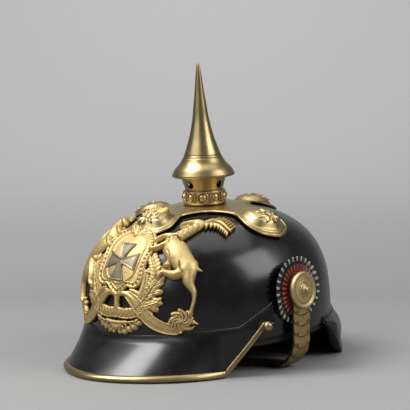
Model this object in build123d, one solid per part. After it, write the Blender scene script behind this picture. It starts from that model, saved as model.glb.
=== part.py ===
from build123d import *
import math
import os

# Spiked parade helmet: leather skull, brass fittings, chin scales. Millimetres.
# The pieces are laid out about the spike's axis, with the skull's side rim at height zero, X to the
# wearer's left and Y to the rear. Each is then tipped forward by the lean, lifted and centred, so
# that the helmet stands on its visor trim and its neck guard at Z zero.

# Stance
lean_angle = 3.18
rim_lift = 30.2
fit_gap = 0.25
cut_overrun = 2.0

# Leather skull
skull_length = 213.4
skull_width = 191.2
skull_crown = 94.8
skull_wall = 2.6
side_curve_share = 2.48
crown_curve_share = 3.22
vent_radius = 10.0
profile_steps = 12

# Leather brims
brim_thick = 2.0
visor_front = 140.9
visor_corner_x = 76.4
visor_corner_y = 67.9
visor_plan_shares = (1.80, 1.75)
visor_corner_angle = 50.5
visor_end_angle = 69.0
visor_flange_angle = 74.0
visor_knee_angle = 58.0
flange_front_height = 6.8
flange_knee_height = 11.8
flange_end_height = 27.0
bend_front_height = 2.0
bend_end_height = 12.5
bend_curve_share = 1.6
guard_rear = 130.0
guard_half_width = 96.0
guard_plan_start = 20.0
guard_plan_share = 1.68
guard_corner_angle = 50.0
guard_end_angle = 71.0
guard_flange_height = 4.5
guard_ease_share = 1.4
guard_end_height = 1.0
brim_steps = 12
end_steps = 3

# Brass trim of the visor
trim_sheet = 0.55
trim_gap = 0.27
trim_cover = 4.4
trim_inner_cover = 3.6
trim_strip_cover = 5.8
ball_radius = 4.0
ball_stem_radius = 1.2
ball_nut_radius = 3.0
ball_nut_thick = 1.4

# Spike's four-armed base
base_sheet = 1.6
hub_radius = 37.0
arm_neck_width = 31.0
arm_neck_reach = 47.0
arm_lobe_width = 40.0
arm_lobe_reach = 62.0
arm_reach = 77.5
lobe_rise = 7.0
lobe_step_rise = 4.0
lobe_radius = 14.5
lobe_top_radius = 12.0
star_radius = 11.0
star_waist_share = 0.72
star_points = 8
star_thick = 2.6
star_lift = 8.3
star_taper_angle = 20.0
star_reach = 63.2
stud_radius = 1.5
stud_clearance = 0.2
nut_radius = 4.0
nut_thick = 2.0

# Vented neck, pearl ring and spike
neck_height = 23.0
neck_foot_radius = 15.4
neck_top_radius = 18.8
neck_wall = 1.0
neck_collar = 6.0
neck_foot_flange = 4.0
neck_vents = 4
neck_vent_radius = 3.0
neck_vent_height = 16.2
pearl_height = 11.6
pearl_radius = 16.6
pearl_count = 10
pearl_depth = 1.3
bead_radius = 0.9
sleeve_radius = 12.0
sleeve_wall = 1.5
sleeve_length = 12.0
thread_clearance = 0.05
spike_height = 115.3
spike_wall = 1.0
spike_bore_share = 0.48
skirt_height = 24.6
skirt_radius = 25.6
skirt_lip = 1.6
spike_tip_radius = 0.9
# heights up the spike from the skirt's rim, and radii, as shares of its height and of the rim
spike_profile_shares = ((0.049, 0.90), (0.103, 0.72), (0.158, 0.613), (0.265, 0.473),
                        (0.374, 0.363), (0.482, 0.28), (0.698, 0.172), (0.914, 0.088))

# Front plate: places across and up the skull as shares of its half width and height
plate_half_width = 70.0
plate_height = 100.0
plate_sheet = 1.4
plate_lift = 0.5
relief_rise = 4.2
ribbon_rise = 3.2
leaf_rise = 2.2
plate_field_shares = ((0, .375), (-.07, .39), (-.15, .44), (-.26, .46), (-.31, .55), (-.30, .72),
                      (-.28, .80), (-.19, .88), (-.10, .91), (0, .93), (.10, .91), (.19, .88),
                      (.28, .80), (.30, .72), (.31, .55), (.26, .46), (.15, .44), (.07, .39))
plate_crown_shares = ((-.10, .88), (-.16, .925), (-.09, .95), (0, .96), (.09, .95), (.16, .925),
                      (.10, .88))
plate_stag_shares = ((.28, .70), (.44, .715), (.40, .74), (.27, .765), (.25, .80), (.36, .83),
                     (.33, .86), (.30, .88), (.31, .905), (.42, .925), (.40, .955), (.40, .995),
                     (.50, 1.03), (.68, 1.05), (.88, 1.04), (.98, .97), (.96, .925), (.86, .93),
                     (.76, .955), (.70, .95), (.66, .90), (.62, .84), (.62, .80), (.75, .72),
                     (.88, .62), (.90, .57), (.94, .56), (.90, .52), (.89, .46), (.94, .40),
                     (.93, .33), (.91, .25), (.85, .235), (.87, .31), (.87, .385), (.80, .43),
                     (.72, .49), (.60, .52), (.56, .515), (.55, .44), (.50, .46), (.50, .56),
                     (.56, .59), (.64, .60), (.54, .66), (.50, .685), (.38, .69), (.30, .68))
plate_lion_shares = ((-.28, .70), (-.44, .715), (-.40, .745), (-.28, .77), (-.30, .81), (-.42, .84),
                     (-.44, .88), (-.40, .92), (-.46, .965), (-.58, .98), (-.68, .95), (-.74, .88),
                     (-.73, .80), (-.78, .72), (-.86, .62), (-.93, .66), (-.98, .63), (-.94, .56),
                     (-.90, .50), (-.87, .42), (-.90, .34), (-.88, .26), (-.80, .25), (-.78, .33),
                     (-.78, .42), (-.70, .48), (-.58, .52), (-.55, .44), (-.49, .46), (-.50, .56),
                     (-.58, .60), (-.60, .66), (-.50, .69), (-.38, .70))
plate_leaf_shares = ((.20, .44), (.30, .50), (.33, .63), (.42, .60), (.53, .54), (.55, .44),
                     (.54, .34), (.46, .30), (.36, .27), (.24, .30), (.20, .36))
plate_ribbon_shares = ((0, .40), (.10, .385), (.22, .44), (.30, .40), (.40, .30), (.50, .235),
                       (.62, .245), (.66, .29), (.74, .31), (.84, .28), (.90, .21), (.98, .17),
                       (.92, .15), (.82, .115), (.70, .105), (.56, .12), (.46, .165), (.36, .18),
                       (.26, .17), (.14, .125), (0, .115))
plate_slot_shares = ((.08, .30), (.20, .33), (.18, .355), (.10, .34))
cross_half_span = 15.5
cross_waist = 3.2
cross_flare = 7.6
cross_height_share = 0.65
cross_thick = 1.6
post_side_share = 0.52
post_height_share = 0.63

# Cockades, rosettes and their screws
side_fit_height = 33.3
side_fit_setback = 4.0
side_fit_tilt_angle = 4.5
cockade_radius = 26.0
cockade_ring_radius = 19.8
cockade_flat_radius = 8.0
cockade_seat = 96.2
cockade_thick = 0.9
ring_thick = 0.5
cockade_gap = 0.12
cockade_dish = 2.35
rosette_seat = 101.5
rosette_radius = 13.9
rosette_depth = 3.1
rosette_sheet = 1.0
rosette_step_radius = 10.4
rosette_knob_radius = 4.0
rosette_knob_height = 4.4
rosette_screw_radius = 2.6

# Chin strap with its scales
strap_seat = 98.7
strap_thick = 1.6
strap_width = 18.6
strap_end_width = 14.0
strap_bend_radius = 22.0
strap_bow = 44.0
strap_clearance = 0.2
strap_steps = 26
scale_sheet = 0.7
scale_pitch = 8.6
scale_length = 11.8
scale_rise = 1.25
scale_start = 7.0
scale_edge_shares = ((0, .92), (.3, .97), (.6, 1.0), (.8, .9), (.93, .62), (1.0, .3))
buckle_reach = 15.0
buckle_width = 21.0
buckle_length = 16.0
buckle_wire = 1.8
keeper_width = 5.0
keeper_wall = 0.8

# Sweatband and liner
band_foot = 6.0
band_height = 23.0
band_thick = 1.3
band_lean = 4.2
liner_room = 5.4
liner_thick = 1.2
liner_hole_radius = 24.0
cord_radius = 1.1

# Brass strip down the back
spine_width = 9.0
spine_sheet = 1.1
spine_boss_radius = 3.2
spine_boss_rise = 1.2
spine_top_height = 76.0
spine_rivet_height = 46.0
spine_stop = 6.0

half_length = skull_length / 2
half_width = skull_width / 2
plan_share = half_width / half_length
lean = math.radians(lean_angle)
frame_shift = (visor_front + 2 * (trim_gap + trim_sheet) - guard_rear) / 2
neck_foot = skull_crown + fit_gap + base_sheet + fit_gap
parts = {}


def keep(name, *solids):
    # laid out about the spike's axis
    parts[name] = [stand(solid) for solid in solids]


def keep_standing(name, *solids):
    # laid out on the table
    parts[name] = list(solids)


def table_height(setback):
    # height of the table below a point that lies setback behind the spike's axis
    return -(rim_lift + setback * math.sin(lean)) / math.cos(lean)


def stand(shape):
    # from the skull's own layout to the standing helmet
    tipped = Rot(lean_angle, 0, 0) * shape
    return Pos(0, frame_shift, rim_lift) * tipped


def stood(point):
    x, y, z = point
    return Vector(x, y * math.cos(lean) - z * math.sin(lean) + frame_shift,
                  y * math.sin(lean) + z * math.cos(lean) + rim_lift)


def outline(points):
    return make_face(Polyline(*points, close=True))


def skull_share(height):
    # share of the skull's plan size that is left at a height
    share = min(max(height / skull_crown, 0), 1)
    return (1 - share ** crown_curve_share) ** (1 / side_curve_share)


def round_dome(grow, depth):
    # the skull's front-to-rear form turned round, with a straight wall down to depth below the rim
    long_half = half_length + grow
    height = skull_crown + grow
    curve = []
    for step in range(profile_steps + 1):
        turn = math.pi / 2 * step / profile_steps
        across = max(math.cos(turn), 0) ** (2 / side_curve_share)
        up = math.sin(turn) ** (2 / crown_curve_share)
        curve.append((long_half * across, 0, height * up))
    curve[-1] = (0, 0, height)
    wall = Spline(*curve, tangents=[(0, 0, 1), (-1, 0, 0)])
    corners = [(0, 0, height), (0, 0, -depth), (long_half, 0, -depth)]
    if depth > 0:
        corners.append((long_half, 0, 0))
    return revolve(make_face([wall] + Polyline(*corners).edges()), Axis.Z)


def dome(grow, depth):
    # solid form of the skull, grown all round
    return scale(round_dome(grow, depth), by=((half_width + grow) / (half_length + grow), 1, 1))


def layer(prism, inner, outer):
    # the part of a widened prism that lies between two turned skull forms
    return (round_dome(outer, cut_overrun) - round_dome(inner, 2 * cut_overrun)) & prism


def widened(plan):
    # upright prism of a plan, stretched across so that the skull under it is round
    return extrude(scale(plan, by=(1 / plan_share, 1, 1)), amount=skull_crown * 2)


def narrowed(shape):
    return scale(shape, by=(plan_share, 1, 1))


def foot(angle, side):
    # point of the skull's plan at an angle from the front or rear, and the way out of it there
    turn = math.radians(angle)
    point = (half_width * math.sin(turn), side * half_length * math.cos(turn))
    out = (point[0] / half_width ** 2, point[1] / half_length ** 2)
    size = math.hypot(*out)
    return point, (out[0] / size, out[1] / size)


def skull_drop(angle, side, height):
    # how far the skull has drawn in at a height, along the way out of its plan
    point, out = foot(angle, side)
    return (1 - skull_share(height)) * (point[0] * out[0] + point[1] * out[1])


def section(angle, side, points):
    # flat section in the upright plane through the skull's plan at an angle
    point, out = foot(angle, side)
    placed = [(point[0] + u * out[0], point[1] + u * out[1], z) for u, z in points]
    return make_face(Polyline(*placed, close=True))


def reach_to(angle, side, inside):
    # distance out from the skull's plan to the edge of a plan form, found by halving
    point, out = foot(angle, side)
    near = 0
    far = half_length
    for _ in range(40):
        middle = (near + far) / 2
        if inside(point[0] + middle * out[0], point[1] + middle * out[1]):
            near = middle
        else:
            far = middle
    return near


def on_table(setback):
    # setback on the table of a point of the brim's plan in the skull's layout
    return setback / math.cos(lean) + rim_lift * math.tan(lean)


def in_visor(x, y):
    across, ahead = visor_plan_shares
    ahead_by = -on_table(y)
    if ahead_by <= visor_corner_y:
        return abs(x) <= visor_corner_x
    turn_x = min(abs(x) / visor_corner_x, 1) ** across
    turn_y = ((ahead_by - visor_corner_y) / (visor_front - visor_corner_y)) ** ahead
    return turn_x + turn_y <= 1


def in_guard(x, y):
    span = guard_rear - guard_plan_start
    turn_x = (abs(x) / guard_half_width) ** guard_plan_share
    turn_y = (max(on_table(y) - guard_plan_start, 0) / span) ** guard_plan_share
    return turn_x + turn_y <= 1


def between(share, start, end):
    return start + (end - start) * min(max(share, 0), 1)


def visor_flange_top(angle):
    if angle <= visor_knee_angle:
        return between(angle / visor_knee_angle, flange_front_height, flange_knee_height)
    rest = (angle - visor_knee_angle) / (visor_flange_angle - visor_knee_angle)
    return between(rest, flange_knee_height, flange_end_height)


def visor_bend(angle):
    share = (angle / visor_end_angle) ** bend_curve_share
    return between(share, bend_front_height, bend_end_height)


def visor_lip(angle):
    # reach and height of the lip's outer edge
    least = fit_gap + brim_thick
    if angle <= visor_corner_angle:
        reach = max(reach_to(angle, -1, in_visor), least)
        point, out = foot(angle, -1)
        table = table_height(point[1] + reach * out[1])
        fall = max(visor_bend(angle) - table, trim_sheet)
        level = (reach - least) / math.hypot(reach - least, fall)
        return reach, table + trim_sheet + 2 * trim_gap + brim_thick * level
    corner_reach, corner_height = visor_lip(visor_corner_angle)
    share = (angle - visor_corner_angle) / (visor_end_angle - visor_corner_angle)
    end_height = visor_bend(visor_end_angle) - ball_radius * 3 / 4
    return between(share, corner_reach, least + trim_sheet), between(share, corner_height, end_height)


def lip_frame(reach, height, bend):
    # directions down the lip and out of its upper face
    down = (reach - fit_gap - brim_thick, height - bend)
    size = math.hypot(*down)
    down = (down[0] / size, down[1] / size)
    return down, (-down[1], down[0])


def flange_points(angle, side, top):
    # inner and outer points of a brim's flange above its bend, from the top down
    middle = top / 2
    inner = [(fit_gap - skull_drop(angle, side, z), z) for z in (top, middle)]
    outer = [(u + brim_thick, z) for u, z in inner]
    return inner, outer


def brim_points(angle, side, top, bend, reach, height):
    inner, outer = flange_points(angle, side, top)
    down, out = lip_frame(reach, height, bend)
    edge = (reach, height)
    under = (reach - brim_thick * out[0], height - brim_thick * out[1])
    root_height = max(-fit_gap, under[1] + fit_gap)
    outer[1] = (outer[1][0], max(outer[1][1], bend + fit_gap))
    inner[1] = (inner[1][0], max(inner[1][1], root_height + fit_gap))
    return [inner[0], outer[0], outer[1], (fit_gap + brim_thick, bend), edge, under,
            (fit_gap, root_height), inner[1]]


def signed(angle_list):
    return [-a for a in reversed(angle_list) if a > 0] + angle_list


def brim_loft(angles, side, maker):
    return loft([section(angle, side, maker(abs(angle))) for angle in angles])


def spread(start, end, steps):
    return [start + (end - start) * step / steps for step in range(steps + 1)]


def below_table():
    # block under the table, in the skull's own layout
    size = skull_length * 2
    block = Box(size, size, size, align=(Align.CENTER, Align.CENTER, Align.MAX))
    return Rot(-lean_angle, 0, 0) * (Pos(0, -frame_shift, -rim_lift) * (Pos(0, frame_shift, 0) * block))


def radial_tool(place, direction, radius, inward, outward):
    # round tool through the skull's wall at a place, along a direction
    start = Vector(*place) - Vector(*direction) * inward
    plane = Plane(origin=start, z_dir=Vector(*direction))
    return plane * Cylinder(radius, inward + outward, align=(Align.CENTER, Align.CENTER, Align.MIN))


def skull_point(across, setback):
    # point on top of the skull at a plan place, and the way out of the skull there
    share = math.hypot(across / half_width, setback / half_length)
    height = skull_crown * (1 - share ** side_curve_share) ** (1 / crown_curve_share)
    lean_out = side_curve_share * share ** (side_curve_share - 2)
    out = Vector(lean_out * across / half_width ** 2, lean_out * setback / half_length ** 2,
                 crown_curve_share * (height / skull_crown) ** (crown_curve_share - 1) / skull_crown)
    return Vector(across, setback, height), out.normalized()


def front_table():
    # places up the skull's front line: length along it, and height
    rows = [(0, 0)]
    length = 0
    last = (half_length, 0)
    steps = profile_steps * profile_steps
    for step in range(1, steps + 1):
        height = skull_crown * math.sin(math.pi / 2 * step / steps)
        here = (half_length * skull_share(height), height)
        length += math.dist(last, here)
        rows.append((length, height))
        last = here
    return rows


front_rows = front_table()


def front_height(length):
    for (start, low), (end, high) in zip(front_rows, front_rows[1:]):
        if length <= end:
            return low + (high - low) * (length - start) / (end - start)
    return front_rows[-1][1]


def front_place(across_share, up_share):
    # sideways place and height, seen from the front, of a place on the plate
    height = front_height(up_share * plate_height)
    along = abs(across_share) * plate_half_width / skull_share(height)
    low = 0
    high = math.pi / 2
    for _ in range(30):
        turn = (low + high) / 2
        wave = math.sin(2 * turn) / 4
        if half_width * (turn / 2 + wave) + half_length * (turn / 2 - wave) < along:
            low = turn
        else:
            high = turn
    side = math.copysign(half_width * skull_share(height) * math.sin(low), across_share)
    return side, height


def front_prism(shares):
    places = []
    for across_share, up_share in shares:
        side, height = front_place(across_share, up_share)
        places.append((side / plan_share, -half_length * 2, height))
    face = outline(places)
    return extrude(face, amount=half_length * 2, dir=(0, 1, 0))


def side_plane(side, seat):
    # plane across a rosette screw's axis, at a seat out from the helmet's middle
    tilt = math.radians(side_fit_tilt_angle)
    height = side_fit_height + (seat - rosette_seat) * math.tan(tilt)
    return Plane(origin=(side * seat, -side_fit_setback, height), x_dir=(0, side, 0),
                 z_dir=(side * math.cos(tilt), 0, math.sin(tilt)))


def mirrored(shares):
    return tuple((-across, up) for across, up in reversed(shares))


# Where screws and studs go through the skull
post_places = []
for post_side in (-1, 1):
    post_x, post_z = front_place(post_side * post_side_share, post_height_share)
    post_y = -half_length * math.sqrt(skull_share(post_z) ** 2 - (post_x / half_width) ** 2)
    post_places.append(skull_point(post_x, post_y))
star_places = []
for turn_step in range(4):
    star_turn = math.pi / 2 * turn_step
    star_places.append(skull_point(star_reach * math.sin(star_turn), star_reach * math.cos(star_turn)))
spine_place, spine_out = skull_point(0, half_length * skull_share(spine_rivet_height))
ball_places = []
for ball_side in (-1, 1):
    ball_foot, ball_out = foot(visor_end_angle, -1)
    ball_height = visor_lip(visor_end_angle)[1] + ball_radius / 4
    ball_places.append(((ball_side * ball_foot[0], ball_foot[1], ball_height),
                        (ball_side * ball_out[0], ball_out[1], 0)))


def make_skull():
    shell = dome(0, 0) - dome(-skull_wall, cut_overrun)
    shell -= Pos(0, 0, skull_crown) * Cylinder(vent_radius, skull_crown / 2)
    through = skull_wall * 3
    for place, out in star_places + post_places + [(spine_place, spine_out)]:
        shell -= radial_tool(place, out, stud_radius + stud_clearance, through, through)
    for place, out in ball_places:
        shell -= radial_tool(place, out, ball_stem_radius + stud_clearance, through, through)
    for side in (-1, 1):
        hole = Cylinder(rosette_screw_radius + stud_clearance, skull_wall * 6)
        shell -= side_plane(side, half_width) * hole
    keep("skull_shell", shell)


def make_visor():
    def points(angle):
        reach, height = visor_lip(angle)
        return brim_points(angle, -1, visor_flange_top(angle), visor_bend(angle), reach, height)

    def flange(angle):
        inner, outer = flange_points(angle, -1, visor_flange_top(angle))
        return [inner[0], outer[0], outer[1], (fit_gap + brim_thick, fit_gap), (fit_gap, fit_gap),
                inner[1]]

    main_angles = signed(spread(0, visor_corner_angle, brim_steps // 2))
    visor = brim_loft(main_angles, -1, points)
    for side in (-1, 1):
        ends = [side * a for a in spread(visor_corner_angle, visor_end_angle, end_steps)]
        tails = [side * a for a in spread(visor_end_angle, visor_flange_angle, 2)]
        visor += brim_loft(ends, -1, points)
        visor += brim_loft(tails, -1, flange)
    for place, out in ball_places:
        visor -= radial_tool(place, out, ball_stem_radius + stud_clearance, skull_wall, skull_wall * 4)
    keep("front_visor", visor - below_table())


def make_trim():
    skin = trim_gap + trim_sheet
    drop = skin * 5 / 4

    def channel(angle):
        reach, height = visor_lip(angle)
        down, out = lip_frame(reach, height, visor_bend(angle))

        def at(along, outward):
            return (reach + along * down[0] + outward * out[0], height + along * down[1] + outward * out[1])

        inner = -brim_thick
        return [at(-trim_cover, trim_gap), at(-trim_cover, skin), at(drop, skin), at(drop, inner - skin),
                at(-trim_inner_cover, inner - skin), at(-trim_inner_cover, inner - trim_gap),
                at(trim_gap, inner - trim_gap), at(trim_gap, trim_gap)]

    def strip(angle):
        reach, height = visor_lip(angle)
        down, out = lip_frame(reach, height, visor_bend(angle))
        share = (angle - visor_corner_angle) / (visor_end_angle - visor_corner_angle)
        cover = between(share, trim_strip_cover, trim_cover)

        def at(along, outward):
            return (reach + along * down[0] + outward * out[0], height + along * down[1] + outward * out[1])

        inner = -brim_thick / 2
        return [at(-cover, trim_gap), at(-cover, skin), at(drop, skin), at(drop, inner),
                at(trim_gap, inner), at(trim_gap, trim_gap)]

    trim = brim_loft(signed(spread(0, visor_corner_angle, brim_steps // 2)), -1, channel)
    for side in (-1, 1):
        ends = [side * a for a in spread(visor_corner_angle, visor_end_angle, end_steps)]
        trim += brim_loft(ends, -1, strip)
    for place, out in ball_places:
        trim -= radial_tool(place, out, ball_stem_radius + stud_clearance, skull_wall, skull_wall * 4)
    keep("visor_trim", trim - below_table())
    balls = []
    nuts = []
    for place, out in ball_places:
        seat = fit_gap + brim_thick + skin + fit_gap
        centre = Vector(*place) + Vector(*out) * (seat + ball_radius)
        ball = Plane(origin=centre, z_dir=Vector(*out)) * Sphere(ball_radius)
        inner = skull_wall + fit_gap + ball_nut_thick
        balls.append(ball + radial_tool(place, out, ball_stem_radius, inner, seat + ball_radius))
        nut = radial_tool(place, out, ball_nut_radius, skull_wall + fit_gap + ball_nut_thick,
                          -skull_wall - fit_gap)
        bore = radial_tool(place, out, ball_stem_radius + stud_clearance / 2, inner * 2, inner)
        nuts.append(nut - bore)
    keep("trim_end_balls", *balls)
    keep("trim_ball_nuts", *nuts)


def guard_lip(angle):
    reach = max(reach_to(angle, 1, in_guard), fit_gap + brim_thick)
    point, out = foot(angle, 1)
    table = table_height(point[1] + reach * out[1])
    if angle <= guard_corner_angle:
        return reach, table - fit_gap
    share = (angle - guard_corner_angle) / (guard_end_angle - guard_corner_angle)
    start = table_height(foot(guard_corner_angle, 1)[0][1])
    ease = share ** guard_ease_share
    return reach, between(ease, start, -guard_end_height)


def make_guard():
    def points(angle):
        reach, height = guard_lip(angle)
        bend = between(angle / guard_end_angle, bend_front_height / 2, guard_end_height)
        return brim_points(angle, 1, guard_flange_height, bend, reach, height)

    guard = brim_loft(signed(spread(0, guard_corner_angle, brim_steps // 2)), 1, points)
    for side in (-1, 1):
        ends = [side * a for a in spread(guard_corner_angle, guard_end_angle, end_steps + 1)]
        guard += brim_loft(ends, 1, points)
    keep("neck_guard", guard - below_table())


def arm_outline(grow):
    half_neck = arm_neck_width / 2 + grow
    half_lobe = arm_lobe_width / 2 + grow
    tip = arm_reach + grow
    start = hub_radius / 2
    edges = []
    for side in (-1, 1):
        edges.append(Spline((side * half_neck, start), (side * half_neck, arm_neck_reach),
                            (side * half_lobe, arm_lobe_reach), (0, tip),
                            tangents=[(0, 1), (-side, 0)]))
    edges.append(Line((-half_neck, start), (half_neck, start)))
    return make_face(edges)


def lobe_plan(radius):
    plan = None
    for quarter in range(4):
        disc = Rot(0, 0, 90 * quarter) * (Pos(0, arm_lobe_reach) * Circle(radius))
        plan = disc if plan is None else plan + disc
    return plan


def make_base():
    plan = Circle(hub_radius)
    for quarter in range(4):
        plan += Rot(0, 0, 90 * quarter) * arm_outline(0)
    sheet = layer(widened(plan), fit_gap, fit_gap + base_sheet)
    inside = fit_gap + base_sheet / 2
    for rise, radius in ((lobe_step_rise, lobe_radius), (lobe_rise, lobe_top_radius)):
        sheet += layer(widened(lobe_plan(radius)), inside, fit_gap + rise)
        inside = rise - base_sheet / 2
    hollow = lobe_plan(lobe_top_radius - base_sheet)
    sheet -= layer(widened(hollow), -base_sheet, lobe_rise - base_sheet)
    sheet -= widened(Circle(vent_radius))
    sheet = narrowed(sheet)
    through = skull_wall + lobe_rise
    studs = []
    nuts = []
    points = []
    for point_step in range(star_points * 2):
        size = star_radius if point_step % 2 == 0 else star_radius * star_waist_share
        turn = math.pi * point_step / star_points
        points.append((size * math.cos(turn), size * math.sin(turn)))
    inside = skull_wall + 2 * fit_gap
    for place, out in star_places:
        sheet -= radial_tool(place, out, stud_radius + stud_clearance, through, through * 2)
        seat = place + out * star_lift
        plane = Plane(origin=seat, x_dir=(out.Z, 0, -out.X), z_dir=out)
        star = plane * extrude(outline(points), amount=star_thick, taper=star_taper_angle)
        stem = radial_tool(place, out, stud_radius, inside + nut_thick, star_lift + star_thick / 2)
        studs.append(star + stem)
        nut = radial_tool(place, out, nut_radius, inside + nut_thick, -inside)
        nuts.append(nut - radial_tool(place, out, stud_radius + stud_clearance / 2, through, 0))
    keep("cross_base", sheet)
    keep("base_star_studs", *studs)
    keep("star_stud_nuts", *nuts)


def turned(points):
    # solid turned about the spike's axis from a profile of radii and heights above the neck's foot
    face = outline([(radius, 0, neck_foot + height) for radius, height in points])
    return revolve(face, Axis.Z)


def make_neck():
    top = neck_height
    waist = pearl_height + fit_gap
    inner_foot = neck_foot_radius - neck_wall
    bore = sleeve_radius + thread_clearance
    neck = turned([(neck_foot_radius - neck_foot_flange, 0), (neck_foot_radius, 0),
                   (neck_foot_radius, waist), (neck_top_radius, top), (bore, top),
                   (bore, top - neck_collar), (bore + neck_wall, top - neck_collar),
                   (bore + neck_wall, top - neck_wall), (neck_top_radius - neck_wall, top - neck_wall),
                   (inner_foot, waist), (inner_foot, neck_wall),
                   (neck_foot_radius - neck_foot_flange, neck_wall)])
    for vent in range(neck_vents):
        drill = Rot(0, 90, 0) * Cylinder(neck_vent_radius, neck_top_radius,
                                         align=(Align.CENTER, Align.CENTER, Align.MIN))
        drill = Pos(0, 0, neck_foot + neck_vent_height) * Rot(0, 0, 360 / neck_vents * vent) * drill
        inside = Pos(0, 0, neck_foot + neck_vent_height) * Cylinder(bore + 2 * neck_wall, neck_height)
        neck -= drill - inside
    keep("spike_neck", neck)
    inner = neck_foot_radius + fit_gap
    ring = turned([(inner, 0), (pearl_radius, 0), (pearl_radius, pearl_height), (inner, pearl_height)])
    for level in (bead_radius, pearl_height - bead_radius):
        ring += Pos(0, 0, neck_foot + level) * Torus(pearl_radius, bead_radius)
    for pearl in range(pearl_count):
        turn = Rot(0, 0, 360 / pearl_count * (pearl + 1 / 2))
        size = (pearl_depth, math.pi * pearl_radius / pearl_count / 2, pearl_height / 3)
        oval = Pos(pearl_radius, 0, neck_foot + pearl_height / 2) * scale(Sphere(1), by=size)
        ring += turn * oval
    ring -= turned([(0, -cut_overrun), (inner, -cut_overrun), (inner, pearl_height + cut_overrun),
                    (0, pearl_height + cut_overrun)])
    keep("pearl_ring", ring)


def make_spike():
    foot_level = neck_height + fit_gap
    rise = spike_height - skirt_height
    outer = [(skirt_radius, 0, neck_foot + skirt_height)]
    inner = [(skirt_radius - 2 * spike_wall, 0, neck_foot + skirt_height)]
    for up, across in spike_profile_shares:
        height = neck_foot + skirt_height + up * rise
        outer.append((skirt_radius * across, 0, height))
        if up <= spike_bore_share:
            inner.append((skirt_radius * across - spike_wall, 0, height - spike_wall))
    tip = neck_foot + spike_height
    outer.append((spike_tip_radius, 0, tip - spike_tip_radius))
    side = Spline(*outer)
    cap = Line(outer[-1], (0, 0, tip))
    axis = Polyline((0, 0, tip), (0, 0, neck_foot + foot_level),
                    (neck_top_radius, 0, neck_foot + foot_level),
                    (skirt_radius - skirt_lip / 2, 0, neck_foot + skirt_height - skirt_lip),
                    (skirt_radius, 0, neck_foot + skirt_height - skirt_lip), outer[0])
    spike = revolve(make_face([side, cap] + axis.edges()), Axis.Z)
    hollow_top = (0, 0, inner[-1][2] + 4 * spike_wall)
    floor = neck_foot + foot_level + spike_wall
    inside = Polyline(inner[-1], hollow_top, (0, 0, floor), (neck_top_radius - spike_wall, 0, floor),
                      inner[0])
    spike -= revolve(make_face([Spline(*inner)] + inside.edges()), Axis.Z)
    bore = sleeve_radius - sleeve_wall
    spike -= Pos(0, 0, neck_foot + foot_level) * Cylinder(bore, skirt_lip * 2)
    keep("spike", spike)
    top = foot_level - fit_gap
    keep("spike_sleeve", turned([(bore, top - sleeve_length), (sleeve_radius, top - sleeve_length),
                                 (sleeve_radius, top), (bore, top)]))


def make_plate():
    lift = plate_lift
    leaves = [plate_leaf_shares, mirrored(plate_leaf_shares)]
    ribbons = [plate_crown_shares, plate_ribbon_shares, mirrored(plate_ribbon_shares)]
    figures = [plate_field_shares, plate_stag_shares, plate_lion_shares]
    plate = None
    start = lift
    for group, rise in ((leaves + ribbons + figures, leaf_rise), (ribbons + figures, ribbon_rise),
                        (figures, relief_rise)):
        prism = None
        for shares in group:
            piece = front_prism(shares)
            prism = piece if prism is None else prism + piece
        level = layer(prism, start, lift + rise)
        plate = level if plate is None else plate + level
        start = lift + rise - plate_lift
    for shares in (plate_slot_shares, mirrored(plate_slot_shares)):
        plate -= front_prism(shares)
    plate -= widened(Rot(0, 0, 180) * arm_outline(fit_gap * 2))
    plate = narrowed(plate)
    posts = []
    nuts = []
    inside = skull_wall + 2 * fit_gap
    for place, out in post_places:
        seat = lift + plate_sheet
        plate -= radial_tool(place, out, stud_radius + stud_clearance, cut_overrun, seat)
        posts.append(radial_tool(place, out, stud_radius, inside + nut_thick, seat - stud_clearance))
        nut = radial_tool(place, out, nut_radius, inside + nut_thick, -inside)
        nuts.append(nut - radial_tool(place, out, stud_radius + stud_clearance / 2, inside * 3, 0))
    keep("front_plate", plate)
    keep("plate_posts", *posts)
    keep("plate_post_nuts", *nuts)
    level = front_height(cross_height_share * plate_height)
    arm = [(-cross_waist, 0), (-cross_flare, cross_half_span), (cross_flare, cross_half_span),
           (cross_waist, 0)]
    face = None
    for quarter in range(4):
        turn = math.pi / 2 * quarter
        points = [((x * math.cos(turn) - z * math.sin(turn)) / plan_share, -half_length * 2,
                   level + x * math.sin(turn) + z * math.cos(turn)) for x, z in arm]
        blade = extrude(outline(points), amount=half_length * 2, dir=(0, 1, 0))
        face = blade if face is None else face + blade
    start = lift + relief_rise + fit_gap
    keep("plate_cross", narrowed(layer(face, start, start + cross_thick)))



def side_turned(side, seat, points):
    # solid turned about a rosette's axis from radii and heights above its seat
    face = outline([(radius, 0, height) for radius, height in points])
    return side_plane(side, seat) * revolve(face, Axis.Z)


def dished(hole, edge, thick, drop):
    fall = cockade_dish * (edge - cockade_flat_radius) / (cockade_radius - cockade_flat_radius)
    return [(hole, drop), (cockade_flat_radius, drop), (edge, drop - fall), (edge, drop + thick - fall),
            (cockade_flat_radius, drop + thick), (hole, drop + thick)]


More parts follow.
